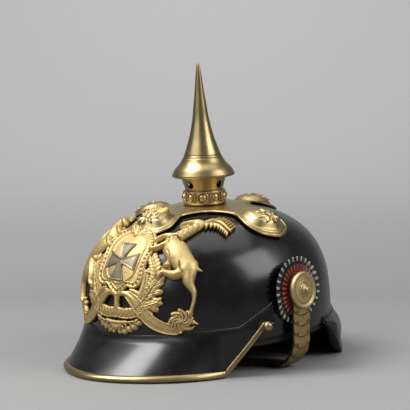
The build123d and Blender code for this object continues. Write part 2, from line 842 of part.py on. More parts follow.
def make_side_fittings():
    hole = rosette_screw_radius + stud_clearance
    depth = rosette_depth
    sheet = rosette_sheet
    for side, word in ((1, "left"), (-1, "right")):
        disc = dished(hole, cockade_radius, cockade_thick, 0)
        ring = dished(hole, cockade_ring_radius, ring_thick, cockade_thick + cockade_gap)
        keep(f"{word}_cockade", side_turned(side, cockade_seat, disc))
        keep(f"{word}_cockade_ring", side_turned(side, cockade_seat, ring))
        cap = [(hole, depth), (rosette_knob_radius, depth), (rosette_step_radius, depth - sheet),
               (rosette_step_radius + sheet, depth), (rosette_radius - sheet / 2, depth),
               (rosette_radius, depth - sheet / 2), (rosette_radius, 0), (rosette_radius - sheet, 0),
               (rosette_radius - sheet, depth - sheet), (rosette_step_radius + sheet, depth - sheet),
               (rosette_step_radius, depth - 2 * sheet), (rosette_knob_radius, depth - sheet),
               (hole, depth - sheet)]
        keep(f"{word}_rosette", side_turned(side, rosette_seat, cap))
        knob = rosette_knob_radius
        start = depth + fit_gap
        wall_place = half_width * skull_share(side_fit_height)
        inner = wall_place - skull_wall - 3 * fit_gap - nut_thick - rosette_seat
        screw = [(0, inner), (rosette_screw_radius, inner), (rosette_screw_radius, start), (knob, start),
                 (knob, start + rosette_knob_height / 3), (knob / 2, start + rosette_knob_height * 2 / 3),
                 (knob / 2, start + rosette_knob_height), (0, start + rosette_knob_height)]
        keep(f"{word}_rosette_screw", side_turned(side, rosette_seat, screw))
        bore = rosette_screw_radius + stud_clearance / 2
        nut = [(bore, inner), (nut_radius * 4 / 3, inner), (nut_radius * 4 / 3, inner + nut_thick),
               (bore, inner + nut_thick)]
        keep(f"{word}_rosette_nut", side_turned(side, rosette_seat, nut))


def strap_path():
    # samples of the strap's outer face: place, way along, way out, length so far
    pivot = stood((0, -side_fit_setback, side_fit_height))
    face = strap_seat + strap_thick
    level = 2 * strap_clearance + scale_sheet + scale_rise
    bend = strap_bend_radius
    samples = [(Vector(face, pivot.Y, pivot.Z), Vector(0, 0, -1), Vector(1, 0, 0), 0)]
    leg = pivot.Z - level - bend
    steps = strap_steps * 4
    for step in range(1, steps + 1):
        share = step / steps
        samples.append((Vector(face, pivot.Y, pivot.Z - leg * share), Vector(0, 0, -1),
                        Vector(1, 0, 0), leg * share))
    for step in range(1, steps + 1):
        turn = math.pi / 2 * step / steps
        out = Vector(math.cos(turn), 0, -math.sin(turn))
        place = Vector(face - bend, pivot.Y, level + bend) + out * bend
        samples.append((place, Vector(-math.sin(turn), 0, -math.cos(turn)), out, leg + bend * turn))
    length = samples[-1][3]
    last = samples[-1][0]
    span = face - bend
    for step in range(1, steps * 2 + 1):
        x = span * (1 - step / steps / 2)
        ahead = strap_bow / 2 * (1 + math.cos(math.pi * x / span))
        place = Vector(x, pivot.Y - ahead, level)
        along = (place - last).normalized()
        length += (place - last).length
        samples.append((place, along, Vector(0, 0, -1), length))
        last = place
    return samples


path_rows = strap_path()
strap_half_length = path_rows[-1][3]


def path_at(length):
    for first, second in zip(path_rows, path_rows[1:]):
        if length <= second[3]:
            share = (length - first[3]) / (second[3] - first[3])
            place = first[0] + (second[0] - first[0]) * share
            along = first[1] + (second[1] - first[1]) * share
            out = first[2] + (second[2] - first[2]) * share
            return place, along.normalized(), out.normalized()
    return path_rows[-1][:3]


def strap_section(side, length, half, low, high):
    # flat section across the strap, from low to high above its outer face
    place, along, out = path_at(length)
    across = along.cross(out).normalized()
    points = []
    for sideways, above in ((-half, low), (half, low), (half, high), (-half, high)):
        point = place + across * sideways + out * above
        points.append((side * point.X, point.Y, point.Z))
    return outline(points)


def strap_half(length):
    share = length / strap_half_length
    return between(share, strap_width, strap_end_width) / 2


def make_strap():
    for side, word in ((1, "left"), (-1, "right")):
        end = strap_half_length - (buckle_length / 2 if side > 0 else -buckle_length / 4)
        end = min(end, strap_half_length)
        lengths = spread(0, end, strap_steps)
        sections = [strap_section(side, at, strap_half(at), -strap_thick, 0) for at in lengths]
        leather = loft(sections, ruled=True)
        pivot = stood((0, -side_fit_setback, side_fit_height))
        eye = Plane(origin=(side * strap_seat, pivot.Y, pivot.Z), z_dir=(side, 0, 0))
        leather += eye * Cylinder(strap_width / 2, strap_thick,
                                  align=(Align.CENTER, Align.CENTER, Align.MIN))
        bore = rosette_screw_radius + 3 * stud_clearance
        leather -= eye * Cylinder(bore, strap_thick * 4)
        keep_standing(f"{word}_chin_leather", leather)
        scales = []
        start = scale_start
        while start + scale_length < strap_half_length - buckle_reach:
            sections = []
            for along_share, width_share in scale_edge_shares:
                at = start + scale_length * along_share
                low = strap_clearance + scale_rise * along_share
                sections.append(strap_section(side, at, strap_half(at) * width_share, low,
                                              low + scale_sheet))
            scales.append(loft(sections, ruled=True))
            start += scale_pitch
        keep_standing(f"{word}_chin_scales", *scales)
    middle = path_rows[-1][0]
    top = middle.Z - strap_clearance
    base = (Align.CENTER, Align.CENTER, Align.MAX)
    frame = Box(buckle_length, buckle_width, buckle_wire, align=base)
    frame -= Box(buckle_length - 2 * buckle_wire, buckle_width - 2 * buckle_wire, buckle_wire, align=base)
    place = Pos(0, middle.Y, top)
    keep_standing("chin_buckle", place * frame)
    inner = buckle_length - 2 * buckle_wire - 2 * strap_clearance
    keep_standing("buckle_tongue", place * Box(inner, buckle_wire, buckle_wire, align=base))
    room = strap_clearance
    length = strap_half_length - buckle_reach
    held = 2 * strap_half(length - keeper_width)
    outer_box = Box(keeper_width, held + 2 * (keeper_wall + room), strap_thick + 2 * (keeper_wall + room))
    inner_box = Box(keeper_width * 2, held + 2 * room, strap_thick + 2 * room)
    spot, along, out = path_at(length)
    place = Pos(-spot.X, spot.Y, middle.Z + strap_thick / 2)
    turn = Rot(0, 0, math.degrees(math.atan2(-along.Y, along.X)))
    keep_standing("strap_keeper", place * turn * (outer_box - inner_box))


def ring_walls(grow):
    # plan forms of one face of the sweatband, upright below the skull's rim and leaning in above it
    top = band_height - band_foot
    return [Pos(0, 0, level) * Ellipse(half_width + size, half_length + size)
            for level, size in ((-band_foot, grow), (0, grow), (top, grow - band_lean))]


def make_lining():
    outer = -skull_wall - fit_gap
    keep("sweatband", loft(ring_walls(outer), ruled=True) - loft(ring_walls(outer - band_thick), ruled=True))
    start = band_height - band_foot + fit_gap
    face = -skull_wall - liner_room
    liner = dome(face, 0) - dome(face - liner_thick, cut_overrun)
    block = Cylinder(skull_length, start, align=(Align.CENTER, Align.CENTER, Align.MIN))
    liner -= block
    liner -= Pos(0, 0, skull_crown) * Cylinder(liner_hole_radius, skull_crown)
    keep("skull_liner", liner)
    ring = liner_hole_radius - cord_radius - fit_gap
    share = liner_hole_radius / (half_length + face)
    level = (skull_crown + face) * (1 - share ** side_curve_share) ** (1 / crown_curve_share)
    keep("liner_drawstring", Pos(0, 0, level - liner_thick / 2) * Torus(ring, cord_radius))


def make_spine():
    heights = spread(guard_flange_height + 2 * fit_gap, spine_top_height, profile_steps)
    line = [(half_length * skull_share(height) + fit_gap, height) for height in reversed(heights)]
    reach, lip_height = guard_lip(0)
    bend = bend_front_height / 2
    flange_face = half_length + fit_gap + brim_thick + fit_gap
    down = (reach - fit_gap - brim_thick, lip_height - bend)
    size = math.hypot(*down)
    out = (-down[1] / size, down[0] / size)
    stop = 1 - spine_stop / size
    line.append((flange_face, guard_flange_height + fit_gap))
    line.append((flange_face, bend))
    line.append((half_length + fit_gap + brim_thick + down[0] * stop + fit_gap * out[0],
                 bend + down[1] * stop + fit_gap * out[1]))
    outer = []
    for index, (y, z) in enumerate(line):
        before = line[max(index - 1, 0)]
        after = line[min(index + 1, len(line) - 1)]
        run = (after[0] - before[0], after[1] - before[1])
        length = math.hypot(*run)
        outer.append((y - run[1] / length * spine_sheet, z + run[0] / length * spine_sheet))
    face = outline([(0, y, z) for y, z in line + outer[::-1]])
    spine = Pos(-spine_width / 2, 0, 0) * extrude(face, amount=spine_width, dir=(1, 0, 0))
    head = 2 * fit_gap + spine_sheet
    spine -= radial_tool(spine_place, spine_out, stud_radius + stud_clearance, 0, head * 4)
    rivet = radial_tool(spine_place, spine_out, stud_radius, skull_wall + fit_gap, head)
    rivet += radial_tool(spine_place, spine_out, spine_boss_radius, -head, head + spine_boss_rise)
    keep("rear_spine", spine)
    keep("spine_rivet", rivet)


make_skull()
make_visor()
make_trim()
make_guard()
make_base()
make_neck()
make_spike()
make_plate()
make_side_fittings()
make_strap()
make_lining()
make_spine()
os.makedirs("parts", exist_ok=True)
for name, solids in parts.items():
    whole = solids[0] if len(solids) == 1 else Compound(children=solids)
    export_step(whole, f"parts/{name}.step")
    box = whole.bounding_box()
    print(name, whole.is_valid, round(whole.volume), [round(v, 1) for v in (*box.min, *box.max)])
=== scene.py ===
import math
import bpy
import numpy as np
from mathutils import Matrix, Vector


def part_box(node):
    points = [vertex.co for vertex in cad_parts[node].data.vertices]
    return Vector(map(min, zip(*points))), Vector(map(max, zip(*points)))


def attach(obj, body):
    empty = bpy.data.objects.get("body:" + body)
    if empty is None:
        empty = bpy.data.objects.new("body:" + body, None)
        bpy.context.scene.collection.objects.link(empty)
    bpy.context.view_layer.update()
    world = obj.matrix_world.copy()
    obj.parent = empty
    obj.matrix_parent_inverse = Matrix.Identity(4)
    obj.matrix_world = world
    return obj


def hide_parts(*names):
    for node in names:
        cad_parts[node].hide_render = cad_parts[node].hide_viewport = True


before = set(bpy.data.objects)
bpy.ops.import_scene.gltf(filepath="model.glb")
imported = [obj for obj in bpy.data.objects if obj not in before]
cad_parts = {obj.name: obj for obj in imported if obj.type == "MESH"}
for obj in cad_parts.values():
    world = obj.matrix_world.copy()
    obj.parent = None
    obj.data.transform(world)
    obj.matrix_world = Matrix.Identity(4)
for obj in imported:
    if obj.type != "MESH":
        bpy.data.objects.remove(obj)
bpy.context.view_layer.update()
print("stage: frame loaded")

# the helmet's layout about the spike's axis, in millimetres, as the solids have it
form = dict(halfWidth=95.6, halfLength=106.7, crown=94.8, sideCurve=2.48, crownCurve=3.22, wall=2.6,
            lean=math.radians(3.18), lift=30.2, shift=6.27, vent=10.0, base=96.9)
halfWidth, halfLength, crown = form["halfWidth"], form["halfLength"], form["crown"]
lean, lift, shift = form["lean"], form["lift"], form["shift"]


def stand(points):
    # from the spike's layout in millimetres to the standing helmet in metres
    p = np.asarray(points, float)
    y = p[..., 1] * math.cos(lean) - p[..., 2] * math.sin(lean) + shift
    z = p[..., 1] * math.sin(lean) + p[..., 2] * math.cos(lean) + lift
    return np.stack([p[..., 0], y, z], -1) * 0.001


def linear(hexText):
    out = []
    for start in (0, 2, 4):
        c = int(hexText[start:start + 2], 16) / 255
        out.append(c / 12.92 if c <= 0.04045 else ((c + 0.055) / 1.055) ** 2.4)
    return (*out, 1.0)


def addNode(tree, kind, settings=None, links=None):
    node = tree.nodes.new("ShaderNode" + kind)
    for key, value in (settings or {}).items():
        if isinstance(key, int) or key in node.inputs:
            node.inputs[key].default_value = value
        else:
            setattr(node, key, value)
    for key, source in (links or {}).items():
        tree.links.new(source, node.inputs[key])
    return node


def newMaterial(name, settings):
    material = bpy.data.materials.new(name)
    material.use_nodes = True
    tree = material.node_tree
    shader = tree.nodes["Principled BSDF"]
    for key, value in settings.items():
        shader.inputs[key].default_value = value
    place = addNode(tree, "TexCoord")
    return material, tree, shader, place.outputs["Object"]


def noiseNode(tree, place, sizeMm, detail=4.0, rough=0.5):
    return addNode(tree, "TexNoise", {"Scale": 1000.0 / sizeMm, "Detail": detail, "Roughness": rough},
                   {"Vector": place}).outputs["Fac"]


def mapRange(tree, source, low, high, outLow, outHigh):
    return addNode(tree, "MapRange", {"From Min": low, "From Max": high, "To Min": outLow,
                                      "To Max": outHigh}, {"Value": source}).outputs["Result"]


def mixColour(tree, factor, first, second):
    node = tree.nodes.new("ShaderNodeMix")
    node.data_type = "RGBA"
    for index, value in ((6, first), (7, second)):
        if isinstance(value, tuple):
            node.inputs[index].default_value = value
        else:
            tree.links.new(value, node.inputs[index])
    tree.links.new(factor, node.inputs[0])
    return node.outputs[2]


def bumpInto(tree, shader, height, depthMm, strength):
    bump = addNode(tree, "Bump", {"Strength": strength, "Distance": depthMm * 0.001}, {"Height": height})
    tree.links.new(bump.outputs["Normal"], shader.inputs["Normal"])


def attribute(tree, name, output="Fac"):
    return addNode(tree, "Attribute", {"attribute_name": name}).outputs[output]


def maths(tree, operation, first, second):
    return addNode(tree, "Math", {"operation": operation}, {0: first, 1: second}).outputs[0]


def setSurface(tree, shader, colour, roughness=None):
    tree.links.new(colour, shader.inputs["Base Color"])
    if roughness:
        tree.links.new(roughness, shader.inputs["Roughness"])


def leatherMaterial(name, colour, worn, rough, grainMm, grainDepth, coat, scratches):
    # lacquer or wax over grain, with thin scratches, dusty patches and worn edges
    material, tree, shader, place = newMaterial(name, {"Coat Weight": coat, "Coat Roughness": rough * 0.7,
                                                       "Specular IOR Level": 0.5})
    patches = noiseNode(tree, place, 34.0, 3.0, 0.6)
    grain = noiseNode(tree, place, grainMm, 3.0, 0.55)
    streaks = addNode(tree, "Mapping", {"Scale": (1.0, 0.12, 1.0), "Rotation": (0.3, 0.5, 0.7)},
                      {"Vector": place})
    lines = noiseNode(tree, streaks.outputs["Vector"], 1.6, 2.0, 0.5)
    marks = mapRange(tree, lines, 0.66, 0.74, 0.0, scratches)
    dust = mapRange(tree, patches, 0.42, 0.75, 0.0, scratches * 0.45)
    used = maths(tree, "MAXIMUM", maths(tree, "MAXIMUM", marks, dust), attribute(tree, "wear"))
    setSurface(tree, shader, mixColour(tree, used, linear(colour), linear(worn)),
               mapRange(tree, patches, 0.3, 0.75, rough * 0.8, rough * 1.45))
    bumpInto(tree, shader, grain, grainDepth, 0.5)
    return material


def brassMaterial(name, bright, dark, rough, patchMm, grainDepth, darkShare=0.5, grainMm=0.9):
    # metal that tarnishes in patches, and takes painted shade in its hollows, grooves and undersides from
    # each piece's shade values
    material, tree, shader, place = newMaterial(name, {"Metallic": 1.0})
    patches = noiseNode(tree, place, patchMm, 5.0, 0.6)
    grain = noiseNode(tree, place, grainMm, 3.0, 0.6)
    tarnish = mapRange(tree, patches, 0.35, 0.8, 0.0, darkShare)
    tarnish_and_painted_shade = maths(tree, "MAXIMUM", tarnish, attribute(tree, "painted_shade"))
    setSurface(tree, shader, mixColour(tree, tarnish_and_painted_shade, linear(bright), linear(dark)),
               mapRange(tree, patches, 0.3, 0.8, rough * 0.85, rough * 1.3))
    bumpInto(tree, shader, grain, grainDepth, 0.35)
    return material


def clothMaterial(name, colour, dark, threadMm):
    material, tree, shader, place = newMaterial(name, {"Roughness": 0.9})
    waves = addNode(tree, "TexWave", {"Scale": 1000.0 / threadMm / 6.3, "Distortion": 1.2}, {"Vector": place})
    setSurface(tree, shader, mixColour(tree, noiseNode(tree, place, 12.0), linear(colour), linear(dark)))
    bumpInto(tree, shader, waves.outputs["Fac"], threadMm * 0.4, 0.6)
    return material


def enamelMaterial(name, rough):
    material, tree, shader, place = newMaterial(name, {"Coat Weight": 0.3, "Coat Roughness": 0.25})
    patches = noiseNode(tree, place, 3.0)
    chips = mapRange(tree, patches, 0.6, 0.75, 0.0, 0.35)
    setSurface(tree, shader, mixColour(tree, chips, attribute(tree, "enamel_and_painted_light", "Color"), linear("6a6660")),
               mapRange(tree, patches, 0.3, 0.7, rough * 0.8, rough * 1.3))
    bumpInto(tree, shader, patches, 0.05, 0.4)
    return material


def threadMaterial(name, colour, worn):
    material, tree, shader, place = newMaterial(name, {"Roughness": 0.7})
    setSurface(tree, shader, mixColour(tree, noiseNode(tree, place, 4.0), linear(colour), linear(worn)))
    return material


materials = dict(
    blackLeather=leatherMaterial("lacquered_black_leather", "060607", "625b52", rough=0.25, grainMm=1.1,
                                 grainDepth=0.035, coat=0.3, scratches=0.16),
    bandLeather=leatherMaterial("brown_sheepskin_leather", "211711", "453425", rough=0.6, grainMm=0.7,
                                grainDepth=0.12, coat=0.0, scratches=0.3),
    strapLeather=leatherMaterial("tanned_strap_leather", "2a1c14", "5a4632", rough=0.6, grainMm=0.9,
                                 grainDepth=0.12, coat=0.0, scratches=0.3),
    polished=brassMaterial("turned_polished_brass", "b5a376", "75623a", rough=0.33, patchMm=26.0,
                           grainDepth=0.01, darkShare=0.4),
    stamped=brassMaterial("stamped_brass_worn_bright", "cdb785", "76602f", rough=0.36, patchMm=18.0,
                          grainDepth=0.02, darkShare=0.35),
    gilt=brassMaterial("stamped_brass_matt_gilt", "e4ca8e", "5c4420", rough=0.55, patchMm=6.0,
                       grainDepth=0.5, darkShare=0.32, grainMm=2.4),
    scales=brassMaterial("pressed_brass_scales_dull", "c8ae78", "33270f", rough=0.42, patchMm=7.0,
                         grainDepth=0.03, darkShare=0.4),
    inner=brassMaterial("cut_brass_unpolished", "8a6f3c", "4a3818", rough=0.45, patchMm=6.0, grainDepth=0.02),
    satin=brassMaterial("turned_satin_brass", "d8c492", "7a663a", rough=0.48, patchMm=16.0, grainDepth=0.02,
                        darkShare=0.3),
    silvered=brassMaterial("stamped_silvered_brass", "b3a78e", "332b1e", rough=0.45, patchMm=8.0,
                           grainDepth=0.03, darkShare=0.45),
    steel=brassMaterial("bent_steel_wire_worn", "8c8880", "4a423a", rough=0.4, patchMm=5.0, grainDepth=0.02),
    enamel=enamelMaterial("painted_metal_cockade", rough=0.4),
    liner=clothMaterial("woven_linen_liner", "8a7858", "5e4f38", threadMm=0.6),
    cord=clothMaterial("twisted_linen_cord", "7a6a4c", "4a3e2a", threadMm=0.8),
    thread=threadMaterial("waxed_linen_thread", "1c1713", "4a4034"),
)
print("stage: materials made")


def circle(steps):
    return np.linspace(0, 2 * math.pi, steps, endpoint=False)


def unit(ways):
    return ways / np.linalg.norm(ways, axis=-1, keepdims=True)


def lengths(path):
    return np.concatenate([[0], np.cumsum(np.linalg.norm(np.diff(path, axis=0), axis=1))])


def gridFaces(rows, columns, closeRows, closeColumns, start=0):
    faces = []
    for i in range(rows if closeRows else rows - 1):
        for j in range(columns if closeColumns else columns - 1):
            k, l = (i + 1) % rows, (j + 1) % columns
            faces.append((start + i * columns + j, start + i * columns + l, start + k * columns + l,
                          start + k * columns + j))
    return faces


class Heap:
    # grids gathered for one mesh, with a painted shade value at each point
    def __init__(self):
        self.points, self.faces, self.dark = [], [], []

    def put(self, rows, dark=0.0, closeRows=False, closeColumns=True, capped=False):
        rows = np.asarray(rows, float)
        count, columns = rows.shape[:2]
        start = len(self.points)
        last = start + (count - 1) * columns
        self.faces += gridFaces(count, columns, closeRows, closeColumns, start)
        if capped:
            self.faces += [tuple(range(start, start + columns)), tuple(range(last, last + columns))[::-1]]
        self.points += rows.reshape(-1, 3).tolist()
        self.dark += np.broadcast_to(dark, rows.shape[:2]).ravel().tolist()


def paintNode(name, material):
    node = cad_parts[name]
    node.data.materials.clear()
    node.data.materials.append(materials[material])


def addPiece(name, points, faces, material, nodes, body="helmet", slot=None, placed=False, values=None,
             colours=None):
    # points in the spike's layout, or in metres where placed; nodes are the solids that it stands for
    points = np.asarray(points, float).reshape(-1, 3)
    mesh = bpy.data.meshes.new(name)
    mesh.from_pydata((points if placed else stand(points)).tolist(), [], faces)
    mesh.validate()
    mesh.polygons.foreach_set("use_smooth", [True] * len(mesh.polygons))
    for key, numbers in (values or {}).items():
        layer = mesh.attributes.new(key, "FLOAT", "POINT")
        layer.data.foreach_set("value", np.asarray(numbers, np.float32).ravel())
    if colours is not None:
        layer = mesh.color_attributes.new("enamel_and_painted_light", "FLOAT_COLOR", "POINT")
        layer.data.foreach_set("color", np.asarray(colours, np.float32).ravel())
    item = bpy.data.objects.new(name, mesh)
    bpy.context.collection.objects.link(item)
    item.data.materials.append(materials[material])
    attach(item, body)
    if nodes:
        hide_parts(*nodes)
    for node in nodes:
        paintNode(node, material)
    return item


def addHeap(name, heap, material, nodes, body="helmet", placed=False):
    return addPiece(name, heap.points, heap.faces, material, nodes, body, placed=placed,
                    values={"painted_shade": heap.dark})


def addGrid(name, rows, material, nodes, body="helmet", closeRows=False, closeColumns=True, **more):
    rows = np.asarray(rows, float)
    faces = gridFaces(*rows.shape[:2], closeRows, closeColumns)
    return addPiece(name, rows, faces, material, nodes, body, **more)


def addRun(name, rows, material, nodes, values=None):
    # run of closed loops with a cap at each end, kept above the table
    rows = np.array(rows)
    rows[..., 2] = np.maximum(rows[..., 2], tableUnder(rows[..., 1]) + 0.02)
    run = Heap()
    run.put(rows, capped=True)
    addPiece(name, run.points, run.faces, material, nodes, values=values)


def resample(path, count):
    path = np.asarray(path, float)
    steps = lengths(path)
    at = np.linspace(0, steps[-1], count)
    return np.stack([np.interp(at, steps, path[:, k]) for k in range(path.shape[1])], 1)


def curveThrough(points, count):
    # smooth path through a few points, by cubic pieces
    p = np.asarray(points, float)
    p = np.vstack([2 * p[0] - p[1], p, 2 * p[-1] - p[-2]])
    out = []
    for i in range(1, len(p) - 2):
        t = np.linspace(0, 1, 12, endpoint=False)[:, None]
        a, b, c, d = p[i - 1], p[i], p[i + 1], p[i + 2]
        out.append(0.5 * (2 * b + (c - a) * t + (2 * a - 5 * b + 4 * c - d) * t ** 2
                          + (3 * b - a - 3 * c + d) * t ** 3))
    out.append(p[-2][None])
    return resample(np.vstack(out), count)


def lathe(profile, steps):
    r, z = np.asarray(profile, float).T
    return np.stack([r[:, None] * np.cos(circle(steps)), r[:, None] * np.sin(circle(steps)),
                     np.repeat(z[:, None], steps, 1)], -1)


def roundedLoop(points, radii, cornerSteps, sideSteps):
    # closed loop with rounded corners and the same number of points whatever its shape
    p = np.asarray(points, float)
    n = len(p)
    starts, ends = [], []
    for i in range(n):
        before, after = p[i - 1] - p[i], p[(i + 1) % n] - p[i]
        lb, la = max(np.linalg.norm(before), 1e-9), max(np.linalg.norm(after), 1e-9)
        starts.append(p[i] + before * min(radii[i] / lb, 0.45))
        ends.append(p[i] + after * min(radii[i] / la, 0.45))
    out = []
    for i in range(n):
        for t in np.linspace(0, 1, cornerSteps):
            out.append((1 - t) ** 2 * starts[i] + 2 * t * (1 - t) * p[i] + t * t * ends[i])
        for t in np.linspace(0, 1, sideSteps[i] + 2)[1:-1]:
            out.append(ends[i] * (1 - t) + starts[(i + 1) % n] * t)
    return np.array(out)


def skullShare(z):
    share = np.clip(np.asarray(z, float) / crown, 0, 1)
    return (1 - share ** form["crownCurve"]) ** (1 / form["sideCurve"])


def skullPlace(turn, z):
    # points of the skull, turn counted from the front towards the wearer's left
    q = skullShare(z)
    return np.stack([halfWidth * q * np.sin(turn), -halfLength * q * np.cos(turn), z + 0 * q], -1)


def skullOut(points):
    x, y, z = points[..., 0], points[..., 1], np.clip(points[..., 2], 0, None)
    q = np.clip(np.hypot(x / halfWidth, y / halfLength), 1e-4, None)
    side = form["sideCurve"] * q ** (form["sideCurve"] - 2)
    up = form["crownCurve"] * (z / crown) ** (form["crownCurve"] - 1) / crown
    return unit(np.stack([side * x / halfWidth ** 2, side * y / halfLength ** 2, up], -1))


def unevenness(p):
    x, y, z = p[..., 0], p[..., 1], p[..., 2]
    return 0.14 * np.sin(x / 17 + 1.3) * np.sin(y / 21) + 0.10 * np.sin(z / 9 + x / 23) * np.sin(y / 13 + 2)


def onSkull(plan, grow):
    # points above the skull at plan places, grown along its outward way
    plan = np.asarray(plan, float)
    share = np.clip(np.hypot(plan[..., 0] / halfWidth, plan[..., 1] / halfLength), 0, 0.9999)
    z = crown * (1 - share ** form["sideCurve"]) ** (1 / form["crownCurve"])
    p = np.stack([plan[..., 0], plan[..., 1], z], -1)
    return p + skullOut(p) * np.asarray(grow)[..., None]


def quarterLine(steps):
    # shares out and up along a quarter of the skull's upright outline
    phi = np.linspace(0, math.pi / 2, steps)
    return np.cos(phi).clip(0) ** (2 / form["sideCurve"]), np.sin(phi) ** (2 / form["crownCurve"])


# Skull: blocked leather, one shell
skull = dict(rows=110, columns=288, edge=0.5, foot=0.8, rounding=0.25, worn=0.25)


def addSkull():
    r, z = quarterLine(3000)
    keep = r * halfLength >= form["vent"]
    line = resample(np.stack([r[keep] * halfLength, z[keep] * crown], 1), skull["rows"])
    share, turn = line[:, :1] / halfLength, circle(skull["columns"])
    outer = np.stack([halfWidth * share * np.sin(turn), -halfLength * share * np.cos(turn),
                      np.repeat(line[:, 1:], skull["columns"], 1)], -1)
    outs = skullOut(outer)
    outer = outer + outs * unevenness(outer)[..., None]
    inner = outer - outs * form["wall"]
    down = np.array([0, 0, -1.0])
    rim = [outer[0] + down * skull["edge"] - outs[0] * skull["rounding"],
           outer[0] + down * skull["foot"] - outs[0] * form["wall"] / 2,
           inner[0] + down * skull["edge"] + outs[0] * skull["rounding"]]
    rows = np.concatenate([outer[::-1], np.array(rim), inner], 0)
    wear = np.zeros(rows.shape[:2])
    wear[skull["rows"]:skull["rows"] + len(rim)] = skull["worn"]
    addGrid("skull_shell_leather", rows, "blackLeather", ["skull_shell"], closeRows=True,
            values={"wear": wear})


addSkull()
print("stage: skull made")


def footOf(angle, side):
    t = math.radians(angle)
    point = (halfWidth * math.sin(t), side * halfLength * math.cos(t))
    out = (point[0] / halfWidth ** 2, point[1] / halfLength ** 2)
    size = math.hypot(*out)
    return point, (out[0] / size, out[1] / size)


def tableUnder(y):
    return -(lift + y * math.sin(lean)) / math.cos(lean)


def onTable(y):
    return y / math.cos(lean) + lift * math.tan(lean)


visor = dict(front=140.9, cornerX=76.4, cornerY=67.9, across=1.80, ahead=1.75, corner=50.5, end=69.0,
             flangeEnd=74.0, knee=58.0, tops=(6.8, 11.8, 27.0), bends=(2.0, 12.5), bendCurve=1.6, thick=2.0)
guard = dict(rear=130.0, halfWidth=96.0, start=20.0, curve=1.68, corner=50.0, end=71.0, flange=4.5,
             endHeight=1.0, ease=1.4, swell=4.6)
gap = 0.25


def inVisor(x, y):
    ahead = -onTable(y)
    if ahead <= visor["cornerY"]:
        return abs(x) <= visor["cornerX"]
    u = min(abs(x) / visor["cornerX"], 1) ** visor["across"]
    v = ((ahead - visor["cornerY"]) / (visor["front"] - visor["cornerY"])) ** visor["ahead"]
    return u + v <= 1


def inGuard(x, y):
    u = (abs(x) / guard["halfWidth"]) ** guard["curve"]
    v = (max(onTable(y) - guard["start"], 0) / (guard["rear"] - guard["start"])) ** guard["curve"]
    return u + v <= 1


def reachTo(angle, side, inside):
    point, out = footOf(angle, side)
    near, far = 0.0, halfLength
    for step in range(34):
        middle = (near + far) / 2
        if inside(point[0] + middle * out[0], point[1] + middle * out[1]):
            near = middle
        else:
            far = middle
    return near


def between(share, start, end):
    return start + (end - start) * min(max(share, 0), 1)


def visorTop(angle):
    if angle <= visor["knee"]:
        return between(angle / visor["knee"], visor["tops"][0], visor["tops"][1])
    rest = (angle - visor["knee"]) / (visor["flangeEnd"] - visor["knee"])
    return between(rest, visor["tops"][1], visor["tops"][2])


def visorBend(angle):
    return between((angle / visor["end"]) ** visor["bendCurve"], *visor["bends"])


def visorLip(angle):
    # how far out the visor's edge stands and how high, first on its curve and then past its corner
    least = gap + visor["thick"]
    if angle <= visor["corner"]:
        reach = max(reachTo(angle, -1, inVisor), least)
        point, out = footOf(angle, -1)
        floor = tableUnder(point[1] + reach * out[1])
        fall = max(visorBend(angle) - floor, 0.7)
        level = (reach - least) / math.hypot(reach - least, fall)
        return reach, floor + 0.94 + visor["thick"] * level
    cornerReach, cornerHeight = visorLip(visor["corner"])
    share = (angle - visor["corner"]) / (visor["end"] - visor["corner"])
    return (between(share, cornerReach, least + 0.7),
            between(share, cornerHeight, visorBend(visor["end"]) - 3.0))


def guardLip(angle):
    reach = max(reachTo(angle, 1, inGuard), gap + visor["thick"])
    point, out = footOf(angle, 1)
    floor = tableUnder(point[1] + reach * out[1])
    if angle <= guard["corner"]:
        return reach, floor + 0.2
    share = (angle - guard["corner"]) / (guard["end"] - guard["corner"])
    start = tableUnder(footOf(guard["corner"], 1)[0][1])
    return reach, between(share ** guard["ease"], start + 0.2, -guard["endHeight"])


def inSection(angle, side, points):
    # a section's points, out from the skull's plan and up, put in place at an angle
    point, out = footOf(angle, side)
    u, z = np.asarray(points, float).T
    drop = (1 - skullShare(z)) * (point[0] * out[0] + point[1] * out[1])
    reach = u - drop
    return np.stack([point[0] + reach * out[0], point[1] + reach * out[1], z], -1)


def brimSection(top, bend, reach, height, thick, swell=0.0):
    # flange up the skull, bend, slope out to the edge, and back underneath
    down = np.array([reach - gap - thick, height - bend])
    size = max(np.linalg.norm(down), 1e-6)
    out = np.array([-down[1], down[0]]) / size
    edge = np.array([reach, height])
    under = edge - out * thick
    root = min(bend - 1.0, max(-gap, under[1] + gap))
    points = [(0.08, top), (0.75, top - 0.3), (gap + thick * 0.9, bend + 0.3), tuple(edge), tuple(under),
              (gap, root)]
    loop = roundedLoop(points, [0.2, 0.5, 3.2, 0.9, 0.9, 1.6], 7, [0, 6, 14, 0, 14, 8])
    # the round face rises over the straight one and tucks in at the lip; a short section has less of both
    share = np.clip((loop[:, 0] - gap - thick) / max(reach - gap - thick, 1e-6), 0, 1)
    swell = swell * min(size / 20, 1)
    rise = swell * np.sin(math.pi * share ** 0.75)
    tuck = 1.25 * swell * share ** 4
    return loop + out * rise[:, None] - np.stack([tuck, 0 * tuck], 1)


def visorSection(angle):
    reach, height = visorLip(min(angle, visor["end"]))
    bend = visorBend(min(angle, visor["end"]))
    if angle > visor["end"]:
        share = (angle - visor["end"]) / (visor["flangeEnd"] - visor["end"])
        height = between(share, height, bend - 2.2)
    return brimSection(visorTop(angle), bend, reach, height, visor["thick"])


def guardSection(angle):
    reach, height = guardLip(angle)
    return brimSection(guard["flange"], 1.0, reach, height, visor["thick"], guard["swell"])


